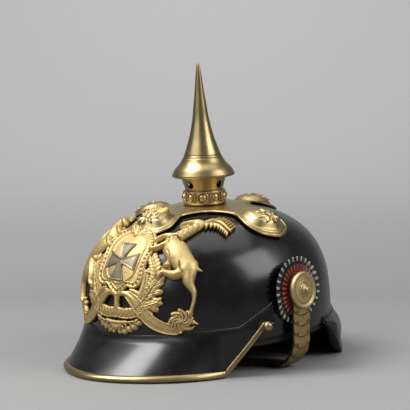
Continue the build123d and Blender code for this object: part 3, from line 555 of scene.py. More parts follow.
def addBrim(name, angles, side, maker, node):
    rows = np.array([inSection(angle, side, maker(abs(angle))) for angle in angles])
    rows = rows + unevenness(rows)[..., None] * 0.21
    # rubbed pale along the flange's upper edge, fading down its face
    wear = np.zeros(rows.shape[:2])
    wear[:, 3:9] = 0.75
    wear[:, 9:11] = 0.25
    addRun(name, rows, "blackLeather", [node], {"wear": wear})


def mirroredSpan(ends, middle):
    # angles from the left to the right end, the same steps on both sides
    return np.concatenate([-ends[::-1], middle, ends])


visorAngles = mirroredSpan(np.concatenate([np.linspace(50.5, 68.5, 22), np.linspace(69, 74, 8)]),
                           np.linspace(-50, 50, 121))
addBrim("front_visor_leather", visorAngles, -1, visorSection, "front_visor")
guardAngles = mirroredSpan(np.linspace(50, 71, 26), np.linspace(-49.5, 49.5, 120))
addBrim("neck_guard_leather", guardAngles, 1, guardSection, "neck_guard")
print("stage: brims made")

# Spine: brass strip down the back, over the guard and round its lip
spine = dict(halfWidth=4.5, top=77.0, thick=1.1, seat=0.12, steps=150, columns=9, roundEdge=0.25)


def addSpine():
    loop = guardSection(0.0)
    lip = int(np.argmax(loop[:, 0]))
    first = int(np.argmax(loop[:, 0] > gap + visor["thick"] * 0.9 + 0.3))
    heights = np.linspace(spine["top"], guard["flange"] + 0.6, 60)
    down = np.concatenate([np.stack([0 * heights + 0.2, heights], 1), loop[first:lip + 6]])
    down = resample(down, spine["steps"])
    ways = unit(np.gradient(down, axis=0))
    away = np.stack([-ways[:, 1], ways[:, 0]], 1)
    # the skull leans back towards its top, so the same thickness takes a longer way out there
    longer = 1 + 0.7 * (np.clip(down[:, 1], 0, None) / spine["top"]) ** 2
    across = np.linspace(-1, 1, spine["columns"])
    drops = spine["roundEdge"] * np.abs(across) ** 6
    angles = np.degrees(np.arcsin(across * spine["halfWidth"] / halfWidth))
    rows = []
    for place, out, more in zip(down, away, longer):
        upper = [inSection(angle, 1, [place + out * (spine["seat"] + (spine["thick"] - drop) * more)])[0]
                 for angle, drop in zip(angles, drops)]
        lower = [inSection(angle, 1, [place + out * spine["seat"] * more])[0] for angle in angles[::-1]]
        rows.append(upper + lower)
    addRun("rear_spine_brass", rows, "polished", ["rear_spine"])


addSpine()
print("stage: spine made")

# Trim of the visor: rolled brass channel, mitred at the corner, with a ball at each end
trim = dict(cover=4.4, strip=5.2, skin=0.85, ball=4.0, seat=0.27)


def trimSection(angle):
    reach, height = visorLip(angle)
    edge = np.array([reach, height])
    down = unit(np.array([reach - gap - visor["thick"], height - visorBend(angle)]))
    out = np.array([-down[1], down[0]])
    cover = trim["cover"]
    low = -visor["thick"] - trim["skin"]
    if angle > visor["corner"]:
        share = (angle - visor["corner"]) / (visor["end"] - visor["corner"])
        cover = between(share, trim["strip"], trim["cover"])
        low = -visor["thick"] * 0.6
    top = trim["skin"] + trim["seat"] + 0.35
    local = [(-cover, 0.02), (-cover + 0.1, 0.5), (-cover * 0.55, top), (0.3, top * 0.95),
             (trim["skin"], 0.1), (trim["skin"], low), (0.0, low), (0.0, 0.0)]
    points = [edge + a * down + b * out for a, b in local]
    return roundedLoop(points, [0.1, 0.4, 1.2, 0.9, 0.6, 0.4, 0.1, 0.1], 4, [1, 2, 2, 1, 2, 1, 1, 2])


def addBalls():
    point, out = footOf(visor["end"], -1)
    height = visorLip(visor["end"])[1] + 1.0
    seat = gap + visor["thick"] + 0.82 + gap + trim["ball"]
    dome = [(trim["ball"] * math.sin(a), -trim["ball"] * math.cos(a)) for a in np.linspace(0, math.pi, 25)]
    profile = [(2.6, -5.6), (2.6, -3.6), (1.9, -3.3)] + [p for p in dome if p[1] > -3.3]
    rows = lathe(profile, 40)
    balls = Heap()
    for side in (1, -1):
        axis = Vector((side * out[0], out[1], 0)).to_track_quat("Z", "Y").to_matrix()
        centre = np.array([side * (point[0] + seat * out[0]), point[1] + seat * out[1], height])
        balls.put((rows.reshape(-1, 3) @ np.array(axis).T + centre).reshape(rows.shape))
    addPiece("trim_end_balls_brass", balls.points, balls.faces, "polished", ["trim_end_balls"])


trimAngles = mirroredSpan(np.linspace(50.51, 69, 20), np.linspace(-50.49, 50.49, 141))
addRun("visor_trim_brass", [inSection(angle, -1, trimSection(abs(angle))) for angle in trimAngles],
       "polished", ["visor_trim"])
addBalls()
print("stage: trim made")

# Four-armed base: stamped sheet with swelling lobes
base = dict(hub=37.0, neck=15.5, neckReach=47.0, lobe=20.0, lobeReach=62.0, tip=77.5, rise=7.0, sheet=1.6,
            domeAcross=17.6, domeAlong=16.4, domeReach=61.0)


def armEdge(count):
    # half of one arm's outline, from the hub's edge to the tip
    start = math.atan2(base["neck"] + 3.0, math.sqrt(base["hub"] ** 2 - base["neck"] ** 2))
    points = [(base["hub"] * math.sin(math.radians(45)), base["hub"] * math.cos(math.radians(45))),
              (base["hub"] * math.sin(start + 0.16), base["hub"] * math.cos(start + 0.16)),
              (base["neck"] + 0.6, base["neckReach"] - 5), (base["neck"] + 0.6, base["neckReach"] + 1),
              (base["lobe"] - 1.2, base["lobeReach"] - 7.5), (base["lobe"], base["lobeReach"]),
              (base["lobe"] - 3.4, base["lobeReach"] + 8.3), (base["lobe"] * 0.42, base["tip"] - 2.1),
              (0, base["tip"])]
    return curveThrough(points, count)


def smoothStep(share):
    share = np.clip(share, 0, 1)
    return share * share * (3 - 2 * share)


def farFromLoop(plan, loop):
    # distance of each place from the outline's points, worked in blocks
    flat = plan.reshape(-1, 2)
    blocks = [np.sqrt(((flat[k:k + 4000, None] - loop[None]) ** 2).sum(-1)).min(1)
              for k in range(0, len(flat), 4000)]
    return np.concatenate(blocks).reshape(plan.shape[:2])


def addBase():
    half = armEdge(64)
    arm = np.vstack([half, (half * [-1, 1])[::-1][1:]])
    turns = [(math.cos(math.pi / 2 * k), math.sin(math.pi / 2 * k)) for k in range(4)]
    loop = np.vstack([arm[::-1][:-1] @ np.array([[c, -s], [s, c]]) for c, s in turns])
    hole = unit(loop) * form["vent"]
    shares = np.concatenate([np.linspace(0, 0.86, 40), np.linspace(0.868, 1, 26)])
    plan = hole[None] + (loop - hole)[None] * shares[:, None, None]
    near = farFromLoop(plan, loop)
    # a dome in each lobe, and a ridge and groove along the outline
    swell = np.zeros(near.shape)
    for c, s in turns:
        x = plan[..., 0] * c + plan[..., 1] * s
        y = -plan[..., 0] * s + plan[..., 1] * c
        rho = np.hypot(x / base["domeAcross"], (y - base["domeReach"]) / base["domeAlong"])
        swell = np.maximum(swell, (1 - rho ** 2.6).clip(0) ** 0.75)
    inside = smoothStep((near - 2.6) / 6.5)
    ridge = 1.0 * np.exp(-((near - 1.0) / 0.75) ** 2) + 0.55 * np.exp(-((near - 3.1) / 0.6) ** 2)
    standOff = 0.9 * np.clip((np.hypot(plan[..., 0], plan[..., 1]) - 30) / 20, 0, 1) + 0.5
    high = standOff + base["sheet"] * 0.7 + ridge * 0.8 + base["rise"] * swell * (0.25 + 0.75 * inside)
    top = onSkull(plan, high)
    low = onSkull(plan, np.maximum(high - 0.9, 0.15))
    lip = onSkull(plan[-1] * 1.004, high[-1] - 0.45)
    # painted shade in the groove inside the outline and at the edge of the lobes' domes, half on the lip,
    # heavy on the underside
    dark = np.clip(np.exp(-((near - 2.1) / 0.45) ** 2) * 0.9 + 0.25 * (1 - inside) * swell, 0, 1)
    dark = np.concatenate([dark, np.full((1, len(loop)), 0.5), np.full(near.shape, 0.9)], 0)
    addGrid("cross_base_brass", np.concatenate([top, lip[None], low[::-1]], 0), "stamped", ["cross_base"],
            closeRows=True, values={"painted_shade": dark})


# star on each stud: shares of its reach, and rise, from the rim to the button
star = dict(place=63.2, lift=8.2, reach=11.2, points=8, steps=64,
            rings=((1.0, 0.0), (1.0, 0.5), (0.66, 1.35), (0.36, 2.1), (0.30, 1.7), (0.25, 1.9), (0.16, 2.75),
                   (0.05, 3.0), (0.002, 3.05)))


def addStars():
    heap = Heap()
    turn = circle(star["steps"])
    wave = np.abs((np.arange(star["steps"]) / star["points"]) % 1 - 0.5) * 2
    for quarter in circle(4):
        plan = star["place"] * np.array([math.sin(quarter), -math.cos(quarter)])
        spot = onSkull(plan[None], np.array([0.0]))[0]
        out = skullOut(spot[None])[0]
        side = unit(np.cross(out, [-math.sin(quarter), math.cos(quarter), 0.0]))
        around = side * np.cos(turn)[:, None] + np.cross(side, out) * np.sin(turn)[:, None]
        rings, dark = [], []
        for share, rise in star["rings"]:
            reach = star["reach"] * (0.60 + 0.40 * wave ** 1.5 if share > 0.32 else 0.8 + 0 * wave)
            crease = 0.45 * wave * (0.3 < share < 0.9)
            rings.append(spot + out * (star["lift"] + rise + crease)[:, None]
                         + around * (reach * share)[:, None])
            # painted shade in the crease ring round the button, and a little painted shade over the rest
            dark.append([0.65 if share == 0.30 else 0.175])
        heap.put(rings, np.array(dark))
    addHeap("base_star_studs_brass", heap, "stamped", ["base_star_studs"])


addBase()
addStars()
print("stage: base made")

# Spike, turned, with its two engraved rings, and the pearl ring below its neck
spike = dict(foot=form["base"], skirt=24.6, skirtRadius=25.6, height=115.3, tip=0.85)
spikeShares = ((0.0, 1.0), (0.05, 0.90), (0.10, 0.735), (0.156, 0.62), (0.21, 0.54), (0.262, 0.475),
               (0.316, 0.412), (0.369, 0.363), (0.4225, 0.32), (0.477, 0.28), (0.53, 0.25), (0.583, 0.226),
               (0.637, 0.20), (0.69, 0.175), (0.744, 0.15), (0.798, 0.128), (0.85, 0.108), (0.904, 0.088),
               (0.958, 0.062), (0.985, 0.045))


def addSpike():
    start = spike["foot"] + spike["skirt"]
    rise = spike["height"] - spike["skirt"]
    side = curveThrough([(share * spike["skirtRadius"], start + up * rise) for up, share in spikeShares], 220)
    groove = np.zeros(len(side))
    for level, depth in ((13.6, 0.32), (15.4, 0.32)):
        groove += depth * np.exp(-((side[:, 1] - start - level) / 0.35) ** 2)
    side[:, 0] -= groove
    tip = [(spike["tip"] * 0.75, spike["foot"] + spike["height"] - 0.5),
           (0.02, spike["foot"] + spike["height"])]
    lip = [(19.0, start - 1.35), (21.5, start - 2.2), (24.2, start - 2.35), (25.3, start - 1.9),
           (25.85, start - 0.9)]
    under = [(0.5, start - 1.3), (12.0, start - 1.3)]
    profile = np.vstack([under, lip, side, tip])
    # painted shade under the skirt's lip, fading out round it, and in the two engraved rings by their depth
    dark = np.concatenate([[0.6, 0.6], [0.4, 0.2, 0.1, 0, 0], np.clip(groove * 2.6, 0, 1), [0, 0]])
    rows = lathe(profile, 128)
    addGrid("spike_brass", rows, "polished", ["spike"], "spike",
            values={"painted_shade": np.repeat(dark[:, None], 128, 1)})


pearls = dict(count=10, middle=5.9, ringWide=4.2, ringTall=4.4, tube=0.7, wide=3.1, tall=3.3, lift=2.5,
              bead=0.72,
              band=((15.7, 0.2), (17.6, 0.0), (17.9, 0.9), (17.2, 1.5), (16.5, 2.1), (16.4, 5.8), (16.5, 9.4),
                    (16.9, 9.8), (17.0, 10.6), (16.4, 11.2), (15.6, 11.3)))


def addPearlRing():
    foot, up = spike["foot"], np.array([0, 0, 1.0])
    heap = Heap()
    # the band behind the bosses takes painted shade
    heap.put(lathe(resample(pearls["band"], 40) + [0, foot], 160), 0.35)
    for turn in circle(pearls["count"]) + math.pi / pearls["count"] + 0.02:
        ahead = np.array([math.cos(turn), math.sin(turn), 0])
        aside = np.array([-math.sin(turn), math.cos(turn), 0])
        centre = ahead * 16.6 + up * (foot + pearls["middle"])
        ring = []
        for t in circle(36):
            place = centre + aside * pearls["ringWide"] * math.cos(t) + up * pearls["ringTall"] * math.sin(t)
            away = aside * math.cos(t) + up * math.sin(t)
            ring.append([place + pearls["tube"] * (away * math.cos(k) + ahead * (math.sin(k) + 0.2))
                         for k in circle(10)])
        heap.put(ring, closeRows=True)
        heap.put([[centre + ahead * pearls["lift"] * math.sqrt(1 - share ** 2)
                   + share * (aside * pearls["wide"] * math.cos(t) + up * pearls["tall"] * math.sin(t))
                   for t in circle(24)] for share in np.linspace(0.02, 1, 9)])
        for level, along in ((level, along) for level in (1.7, 10.2) for along in (-0.225, 0.0, 0.225)):
            b = turn + 2 * math.pi / pearls["count"] * (0.5 + along)
            spot = np.array([math.cos(b), math.sin(b), 0]) * 17.0 + up * (foot + level)
            heap.put([[spot + pearls["bead"] * np.array([math.sin(u) * math.cos(v), math.sin(u) * math.sin(v),
                                                         math.cos(u)])
                       for v in circle(10)] for u in np.linspace(0.05, math.pi - 0.05, 7)])
    addHeap("pearl_ring_brass", heap, "stamped", ["pearl_ring"])


addSpike()
addPearlRing()
print("stage: spike made")

# Front plate: relief drawn on the skull's front, in millimetres across and up from the rim
plate = dict(step=0.4, left=-74.0, right=76.0, low=8.0, high=122.0, lift=0.5)


class Relief:
    def __init__(self):
        self.s = np.arange(plate["left"], plate["right"], plate["step"])
        self.t = np.arange(plate["low"], plate["high"], plate["step"])
        self.gridS, self.gridT = np.meshgrid(self.s, self.t)
        self.high = np.zeros_like(self.gridS)

    @staticmethod
    def fromLine(gs, gt, ds, dt):
        # distance from a straight piece that starts at nought, and the share of the way along it
        along = np.clip((gs * ds + gt * dt) / max(ds * ds + dt * dt, 1e-9), 0, 1)
        return np.hypot(gs - along * ds, gt - along * dt), along

    def window(self, sLow, sHigh, tLow, tHigh):
        a, b = np.searchsorted(self.s, [sLow, sHigh])
        c, d = np.searchsorted(self.t, [tLow, tHigh])
        return slice(c, d), slice(a, b)

    def put(self, where, height, blend):
        # max keeps the higher of two, melt joins them softly, cut sinks a line, hole opens the sheet
        old = self.high[where]
        if blend == "max":
            self.high[where] = np.maximum(old, height)
        elif blend == "melt":
            self.high[where] = (old ** 5 + height ** 5) ** 0.2
        elif blend == "cut":
            self.high[where] = old - height
        elif blend == "hole":
            self.high[where] = np.where(height > 0, 0, old)

    def stroke(self, points, height, blend="max", power=0.5):
        # rounded bar through points of across, up and radius
        for (s0, t0, r0), (s1, t1, r1) in zip(points, points[1:]):
            big = max(r0, r1) + 0.5
            where = self.window(min(s0, s1) - big, max(s0, s1) + big, min(t0, t1) - big, max(t0, t1) + big)
            gs, gt = self.gridS[where], self.gridT[where]
            far, along = self.fromLine(gs - s0, gt - t0, s1 - s0, t1 - t0)
            share = far / (r0 + (r1 - r0) * along)
            self.put(where, height * np.clip(1 - share ** 2, 0, None) ** power, blend)

    def bend(self, points, height, count=24, blend="max", power=0.5):
        self.stroke([tuple(p) for p in curveThrough(points, count)], height, blend, power)

    def limb(self, points, height, count=24, power=0.5):
        self.bend(points, height, count, "melt", power)

    def blob(self, s, t, rs, rt, turnDeg, height, blend="max", power=0.5):
        big = max(rs, rt) + 0.5
        where = self.window(s - big, s + big, t - big, t + big)
        gs, gt = self.gridS[where] - s, self.gridT[where] - t
        c, w = math.cos(math.radians(turnDeg)), math.sin(math.radians(turnDeg))
        share = np.hypot((gs * c + gt * w) / rs, (-gs * w + gt * c) / rt)
        self.put(where, height * np.clip(1 - share ** 2, 0, None) ** power, blend)

    def area(self, points, height, bevel, blend="max", count=160):
        p = curveThrough(list(points) + [points[0]], count)[:-1]
        where = self.window(p[:, 0].min() - 1, p[:, 0].max() + 1, p[:, 1].min() - 1, p[:, 1].max() + 1)
        gs, gt = self.gridS[where], self.gridT[where]
        inside = np.zeros(gs.shape, bool)
        near = np.full(gs.shape, 1e9)
        for (s0, t0), (s1, t1) in zip(p, np.roll(p, -1, 0)):
            crosses = (t0 > gt) != (t1 > gt)
            inside ^= crosses & (gs < (s1 - s0) * (gt - t0) / (t1 - t0 + 1e-12) + s0)
            near = np.minimum(near, self.fromLine(gs - s0, gt - t0, s1 - s0, t1 - t0)[0])
        self.put(where, np.where(inside, height * np.clip(near / bevel, 0, 1) ** 0.6, 0), blend)

    def leaf(self, s, t, size, turnDeg, height=3.0, wide=0.42):
        c, w = math.cos(math.radians(turnDeg)), math.sin(math.radians(turnDeg))
        tip = (s + size * c, t + size * w)
        self.blob((s + tip[0]) / 2, (t + tip[1]) / 2, size * 0.56, size * wide, turnDeg, height, "max", 0.6)
        self.stroke([(s, t, 0.32), (tip[0], tip[1], 0.22)], 0.7, "cut")


relief = Relief()


def drawShield(r):
    outline = [(0, 38.2), (5.2, 41.2), (9.6, 45.6), (13.6, 44.6), (18.4, 45.6), (21.2, 50), (20.6, 58),
               (20.8, 67), (22.4, 76), (19.4, 83), (13, 91), (5, 95.5), (-3, 96.5), (-12, 95.5), (-20, 91.5),
               (-25.6, 85), (-26.6, 76), (-25, 67), (-24.4, 58), (-24.6, 51), (-21.6, 46.4), (-16, 45),
               (-11.6, 46), (-6, 42)]
    r.area(outline, 2.7, 1.6)
    loop = curveThrough(outline + [outline[0]], 150)
    r.stroke([(s, t, 1.5) for s, t in loop], 4.1)
    inner = loop * [0.86, 0.87] + [-0.25, 8.6]
    r.stroke([(s, t, 0.6) for s, t in inner], 3.5)
    for step in range(0, 150, 3):
        out, into = loop[step], inner[step]
        near, far = out * 0.75 + into * 0.25, out * 0.2 + into * 0.8
        r.bend([(near[0], near[1], 0.5), ((near[0] + far[0]) / 2 + 0.7, (near[1] + far[1]) / 2 + 0.5, 0.45),
                (far[0], far[1], 0.4)], 0.7, 5, "cut")
    field = [(-0.8, 46.5), (6.5, 48.6), (12.6, 53), (14.6, 60), (14.8, 70), (14.2, 79), (9, 86), (-0.8, 88.5),
             (-10.6, 86), (-15.8, 79), (-16.4, 70), (-16.2, 60), (-14.2, 53), (-8.1, 48.6)]
    r.area(field, 3.1, 0.6)
    r.stroke([(s, t, 0.75) for s, t in curveThrough(field + [field[0]], 120)], 3.9)
    for row, t in enumerate(np.arange(50.5, 86, 1.5)):
        for s in np.arange(-14, 13, 1.5):
            if abs(s + 0.8) < 13.4 - abs(t - 68) ** 2 / 60:
                r.blob(s + 0.75 * (row % 2), t, 0.62, 0.62, 0, 3.5)


def drawCrest(r):
    for t, half in ((91, 9), (94.5, 9.5), (98.5, 9), (102.5, 8.6), (106.5, 8.8), (110.5, 9.2), (114.5, 9),
                    (118, 7)):
        for side in (-1, 1):
            r.leaf(-1.8 + side * 0.6, t - 2.5, half, 90 - side * 48, 4.8, 0.3)
            r.bend([(-1.8 + side * half * 0.5, t + 0.6, 0.9), (-1.8 + side * half * 0.86, t + 2.4, 1.1),
                    (-1.8 + side * half * 0.96, t + 0.2, 1.0), (-1.8 + side * half * 0.7, t - 0.4, 0.7)],
                   4.4, 9)
    r.bend([(-1.8, 88, 2.6), (-1.8, 100, 2.0), (-1.8, 112, 2.0), (-1.8, 120.5, 1.0)], 5.2)
    for t in np.arange(90, 120, 2.8):
        r.blob(-1.8, t, 1.25, 1.15, 0, 6.1)


def mirrored(points, side):
    return [(side * s, *rest) for s, *rest in points]


def drawLeaves(r, side):
    # four twigs, then loose leaves, then berries
    for points, size, wide in (
            ([(20.5, 31), (27, 38), (31, 46), (31.5, 54), (28.5, 62), (24.5, 68)], 9.0, 0.30),
            ([(22, 34), (24, 42), (24.5, 50), (23.5, 57)], 6.0, 0.34),
            ([(29, 42), (34, 49), (37.6, 56), (39.4, 63)], 7.0, 0.36),
            ([(24, 30), (31, 32), (37, 34)], 6.5, 0.34)):
        stem = curveThrough(mirrored(points, side), 40)
        for step in range(38, 0, -3):
            before, after = stem[step - 1], stem[step + 1]
            way = math.degrees(math.atan2(after[1] - before[1], after[0] - before[0]))
            share = step / 39
            for away in (-38, 38):
                r.leaf(*stem[step], size * (1 - 0.3 * share), way + away, 3.5 - 0.4 * share, wide)
        r.stroke([(s, t, 0.75) for s, t in stem], 3.9)
    for s, t, size, w in ((31, 36, 8.5, -14), (32, 41, 8, 6), (33, 46, 7.5, 22), (30, 31.5, 8.5, -30),
                          (28, 28, 7.5, -48), (32.5, 51, 6, 40), (20, 24, 6, 200), (21, 19, 6, 215)):
        r.leaf(side * s, t, size, w if side > 0 else 180 - w, 3.2, 0.36)
    for s, t in ((27, 44), (33, 50), (26, 56), (35, 40), (30, 37)):
        r.blob(side * s, t, 1.1, 1.1, 0, 4.3)
    r.blob(side * 38.8, 61.8, 3.0, 2.8, 0, 6.6)


def drawRibbon(r, side):
    line = curveThrough(mirrored([(11, 39), (17, 34.5), (23.5, 27.5), (30.5, 20.5), (38, 16), (45, 13.8),
                                  (52, 13)], side), 70)
    width = np.interp(np.linspace(0, 1, 70), [0, 0.15, 0.5, 1], [3.0, 4.6, 5.0, 4.2])
    r.stroke([(s, t, w) for (s, t), w in zip(line, width)], 3.2, "max", 0.14)
    ways = np.gradient(line, axis=0)
    ways = ways / np.linalg.norm(ways, axis=1, keepdims=True)
    normal = np.stack([-ways[:, 1], ways[:, 0]], 1)
    for away in (-0.86, 0.86):
        r.stroke([(*(line[k] + normal[k] * width[k] * away), 0.6) for k in range(70)], 4.2)
    for k in range(3, 68, 3):
        r.blob(*line[k], 1.35, 0.7, math.degrees(math.atan2(normal[k][1], normal[k][0])), 3.8)
        for away in (-0.5, 0.5):
            r.blob(*(line[k] + normal[k] * width[k] * away), 0.5, 0.5, 0, 3.9)
    knot = (side * 55.0, 19.4)
    r.blob(*knot, 8.4, 8.0, 0, 3.4, "max", 0.3)
    for fold in range(7):
        a = math.radians(200 - fold * 42)
        path = []
        for share in np.linspace(0, 1, 12):
            turn = a + 1.15 * share
            reach = 1.2 + 7.4 * share
            path.append((knot[0] + side * reach * math.cos(turn), knot[1] + reach * math.sin(turn),
                         1.55 + 0.9 * math.sin(math.pi * share)))
        r.stroke(path, 4.6, "max", 0.6)
        edge = [(s + side * 0.6 * math.sin(a), t - 0.6 * math.cos(a), 0.42) for s, t, w in path]
        r.stroke(edge, 1.1, "cut")
    r.blob(*knot, 2.0, 1.9, 0, 5.0)
    r.bend(mirrored([(60, 20.4, 3.2), (63.4, 18.6, 2.2), (67.4, 17.0, 0.7)], side), 3.6)
    r.bend(mirrored([(58, 13.6, 2.0), (62, 13.6, 1.6), (65, 15.4, 0.7)], side), 3.2)


def drawMiddle(r):
    for side in (-1, 1):
        r.bend(mirrored([(0, 38.0, 2.4), (6, 39.6, 2.5), (12, 38.2, 2.5), (17, 34.6, 2.5), (19, 29.4, 2.2)],
                        side), 3.9)
        r.bend(mirrored([(13, 42.4, 1.6), (18, 41, 2.2), (22.5, 37, 2.4), (23, 31, 2.2)], side), 3.4)
        for s, t, size, w in ((8, 14, 8, 205), (12, 15.4, 8.4, 195), (4.6, 12.6, 7, 222), (16, 18, 8, 185),
                              (20, 22, 7, 170), (24, 27, 6, 150), (2, 12.4, 6, 250)):
            r.leaf(side * s, t, size, w if side < 0 else 180 - w, 3.3, 0.36)
            curl = [(s, t + 2.4, 0.8), (s + 2.2, t + 1.4, 1.1), (s + 2.0, t - 0.8, 0.9)]
            r.bend(mirrored(curl, side), 3.6, 6)
    r.bend([(0, 38, 3.4), (0, 33, 2.8), (0.4, 29, 3.2)], 3.7)
    band = [(-27, 25), (-20, 22.4), (-10, 20.6), (0, 21.4), (10, 20.8), (19, 22.4), (24, 26), (21, 29.6),
            (14, 29.4), (7, 28.4), (0, 29.6), (-7, 28.4), (-14, 29.8), (-22, 30)]
    r.area(band, 3.1, 0.9)
    for s in np.arange(-22, 22, 3.6):
        r.bend([(s - 0.6, 22.0, 0.8), (s + 0.8, 24.6, 1.1), (s - 0.2, 28.2, 0.7)], 3.9, 8)
    edge = curveThrough(band[:7], 40)
    r.stroke([(s, t, 0.7) for s, t in edge], 3.9)
    r.bend([(-22, 19.4, 1.4), (-12, 17.8, 1.9), (-1, 16.6, 2.2), (10, 17.8, 1.9), (20, 19.8, 1.5)], 3.6)
    for away in range(-3, 4):
        r.leaf(-0.5 + away * 0.6, 16.5, 7.4 - abs(away) * 0.5, -90 + away * 22, 3.8 - abs(away) * 0.1, 0.24)
    for cut in ([(-12.4, 32.6, 1.5), (-5.6, 32.4, 1.5)], [(5.4, 33.4, 1.5), (12.6, 33.2, 1.4)],
                [(-17, 19.6, 0.7), (-12, 18.9, 0.8)], [(11.5, 19.5, 0.8), (17.5, 20.3, 0.8)]):
        r.stroke(cut, 9.0, "hole")


def drawStag(r):
    r.limb([(34, 80, 7.4), (40, 74.5, 8.4), (46.5, 68, 8.0), (52.5, 62, 7.6), (57.4, 57.5, 6.8)], 4.9,
           power=0.6)
    r.blob(42, 71.5, 10.5, 6.6, -48, 6.2, "melt", 0.6)
    r.blob(32.5, 87.5, 9.4, 6.4, 62, 4.8, "melt", 0.6)
    r.blob(55.5, 60, 8.6, 7.2, -50, 6.0, "melt", 0.6)
    r.limb([(32, 82.5, 6.6), (36, 88, 6.0), (40.6, 94.5, 5.0), (43.6, 100, 4.4)], 5.2, power=0.6)
    r.limb([(44, 102, 4.2), (39, 102.6, 3.8), (34, 101.6, 2.8), (30, 100, 2.0)], 5.4, power=0.6)
    r.limb([(37, 99.4, 1.8), (32, 97.6, 1.3)], 4.2, 6)
    r.bend([(45, 104.5, 1.7), (47.5, 107, 1.3), (48.6, 108.6, 0.6)], 4.8, 8)
    r.blob(38.4, 103.4, 1.0, 0.8, 0, 6.3)
    r.limb([(31, 80, 3.6), (26, 76.6, 2.8), (22, 75, 2.3), (19.4, 76.8, 1.8)], 4.8)
    r.limb([(31, 87.5, 3.6), (26, 87.4, 3.0), (22.4, 85.2, 2.5), (20.2, 82.2, 2.2)], 4.8)
    r.limb([(57.5, 57, 6.4), (58.4, 50.5, 4.9), (60.4, 46, 3.4), (64, 40.4, 2.3), (64.2, 34, 1.8),
            (62.8, 28, 1.7), (62, 24.4, 2.3)], 5.2, 30)
    r.limb([(53, 57.5, 5.6), (47, 54.4, 4.2), (41.5, 55.6, 3.0), (37, 56.4, 2.4), (34.5, 52.6, 2.0)], 4.8)
    r.bend([(63, 58.2, 1.5), (65.4, 56.8, 1.1), (67.4, 56.2, 0.5)], 3.8, 8)
    for side, path in ((1, [(44, 103.5), (50, 105.6), (57, 103.6), (64, 98.6), (70, 93.4), (74.6, 90)]),
                       (-1, [(45, 101.5), (52, 101.4), (59, 98.8), (66, 93.6), (72, 88.6)])):
        beam = curveThrough(path, 50)
        r.stroke([(s, t, 1.5 - 0.8 * k / 49) for k, (s, t) in enumerate(beam)], 4.8)
        for k in range(4, 48, 6):
            s, t = beam[k]
            lean = -0.5 if side > 0 else 0.6
            r.bend([(s, t, 1.3), (s + 1.6 + lean, t + side * 2.2, 1.1), (s + 2.6, t + side * 4.4, 0.7)], 4.4,
                   7)
    for s in np.arange(30.5, 44, 2.2):
        top = 84 + (s - 30) * 1.1
        r.bend([(s, top, 0.4), (s + 1.8, top - 2.6, 0.45), (s + 2.2, top - 5.4, 0.35)], 0.8, 7, "cut")
    r.bend([(29.6, 84.5, 0.55), (35, 85.6, 0.6), (41.4, 82, 0.5)], 1.0, 14, "cut")
    r.bend([(48, 63.6, 0.5), (50, 58.6, 0.55), (53.4, 55, 0.5)], 0.8, 10, "cut")
    r.bend([(34, 74, 0.4), (37, 71, 0.45), (38.6, 66.6, 0.4)], 0.5, 10, "cut")


def drawLion(r):
    r.limb([(-35, 80, 7.2), (-41, 74, 7.4), (-47, 67, 6.6), (-53, 60.5, 6.4)], 5.0, power=0.6)
    r.blob(-54.5, 58.5, 7.4, 6.6, 45, 5.6, "melt", 0.6)
    r.limb([(-35, 84, 7.6), (-38, 90, 7.2), (-41, 96, 6.4)], 5.0, power=0.6)
    r.limb([(-41, 98, 4.8), (-36, 98.8, 4.0), (-31.8, 97.8, 2.8)], 5.6)
    for ring, (reach, rise) in enumerate(((6.0, 4.9), (9.4, 4.4), (12.4, 3.8))):
        for step in range(18):
            a = math.radians(40 + step * 17 + ring * 8)
            r.bend([(-40 + (reach + more) * math.cos(a + on), 92 + (reach + more) * 1.1 * math.sin(a + on), w)
                    for more, on, w in ((-3, 0, 1.7), (0, 0.15, 1.4), (2.6, 0.4, 0.5))], rise, 7)
    r.bend([(-41, 98, 4.6), (-36, 98.8, 3.8), (-31.8, 97.8, 2.6)], 5.8)
    r.blob(-36.6, 100.6, 0.9, 0.8, 0, 6.6)
    r.bend([(-36.6, 96.2, 0.5), (-31.6, 95.8, 0.5)], 1.2, 6, "cut")
    r.limb([(-33, 80, 3.6), (-28.5, 77, 2.9), (-25, 75, 2.6)], 4.8)
    r.limb([(-33, 90, 3.4), (-28.5, 90.4, 2.8), (-24.4, 87.6, 2.6)], 4.8)
    r.limb([(-55, 57, 6.0), (-57, 50, 4.8), (-60, 45, 3.6), (-63, 39.6, 2.8), (-62.6, 32, 2.4),
            (-61, 27, 2.4), (-58.6, 24.6, 2.4)], 5.0, 30)
    r.limb([(-50, 57, 5.2), (-44.6, 54, 4.0), (-40.6, 50, 3.0), (-39, 44, 2.6), (-36, 42, 2.4)], 4.6)
    tail = [(-58.6, 60), (-63, 63), (-66.4, 69), (-64.4, 76), (-66, 82), (-64.8, 87)]
    r.bend([(s, t, 1.7) for s, t in tail], 4.2, 30)
    for away in (60, 85, 110, 135):
        r.leaf(-65, 84.5, 6.5, away, 4.2, 0.26)


drawMiddle(relief)
for side in (-1, 1):
    drawLeaves(relief, side)
    drawRibbon(relief, side)
drawShield(relief)
drawStag(relief)
drawLion(relief)
drawCrest(relief)
print("stage: relief drawn")


def plateToSkull(s, t):
    # across and up on the flat drawing become places on the skull, with their arc lengths kept
    z = crown * np.sin(np.linspace(0, math.pi / 2, 1500))
    high = np.interp(t, lengths(np.stack([z, halfLength * skullShare(z)], 1)), z)
    turnTable = np.linspace(0, math.pi / 2, 800)
    wave = np.sin(2 * turnTable) / 4
    along = halfWidth * (turnTable / 2 + wave) + halfLength * (turnTable / 2 - wave)
    return skullPlace(np.interp(np.abs(s) / skullShare(high), along, turnTable) * np.sign(s), high)


def blurred(values, reach):
    return (values + np.roll(values, reach, 0) + np.roll(values, -reach, 0) + np.roll(values, reach, 1)
            + np.roll(values, -reach, 1)) / 5


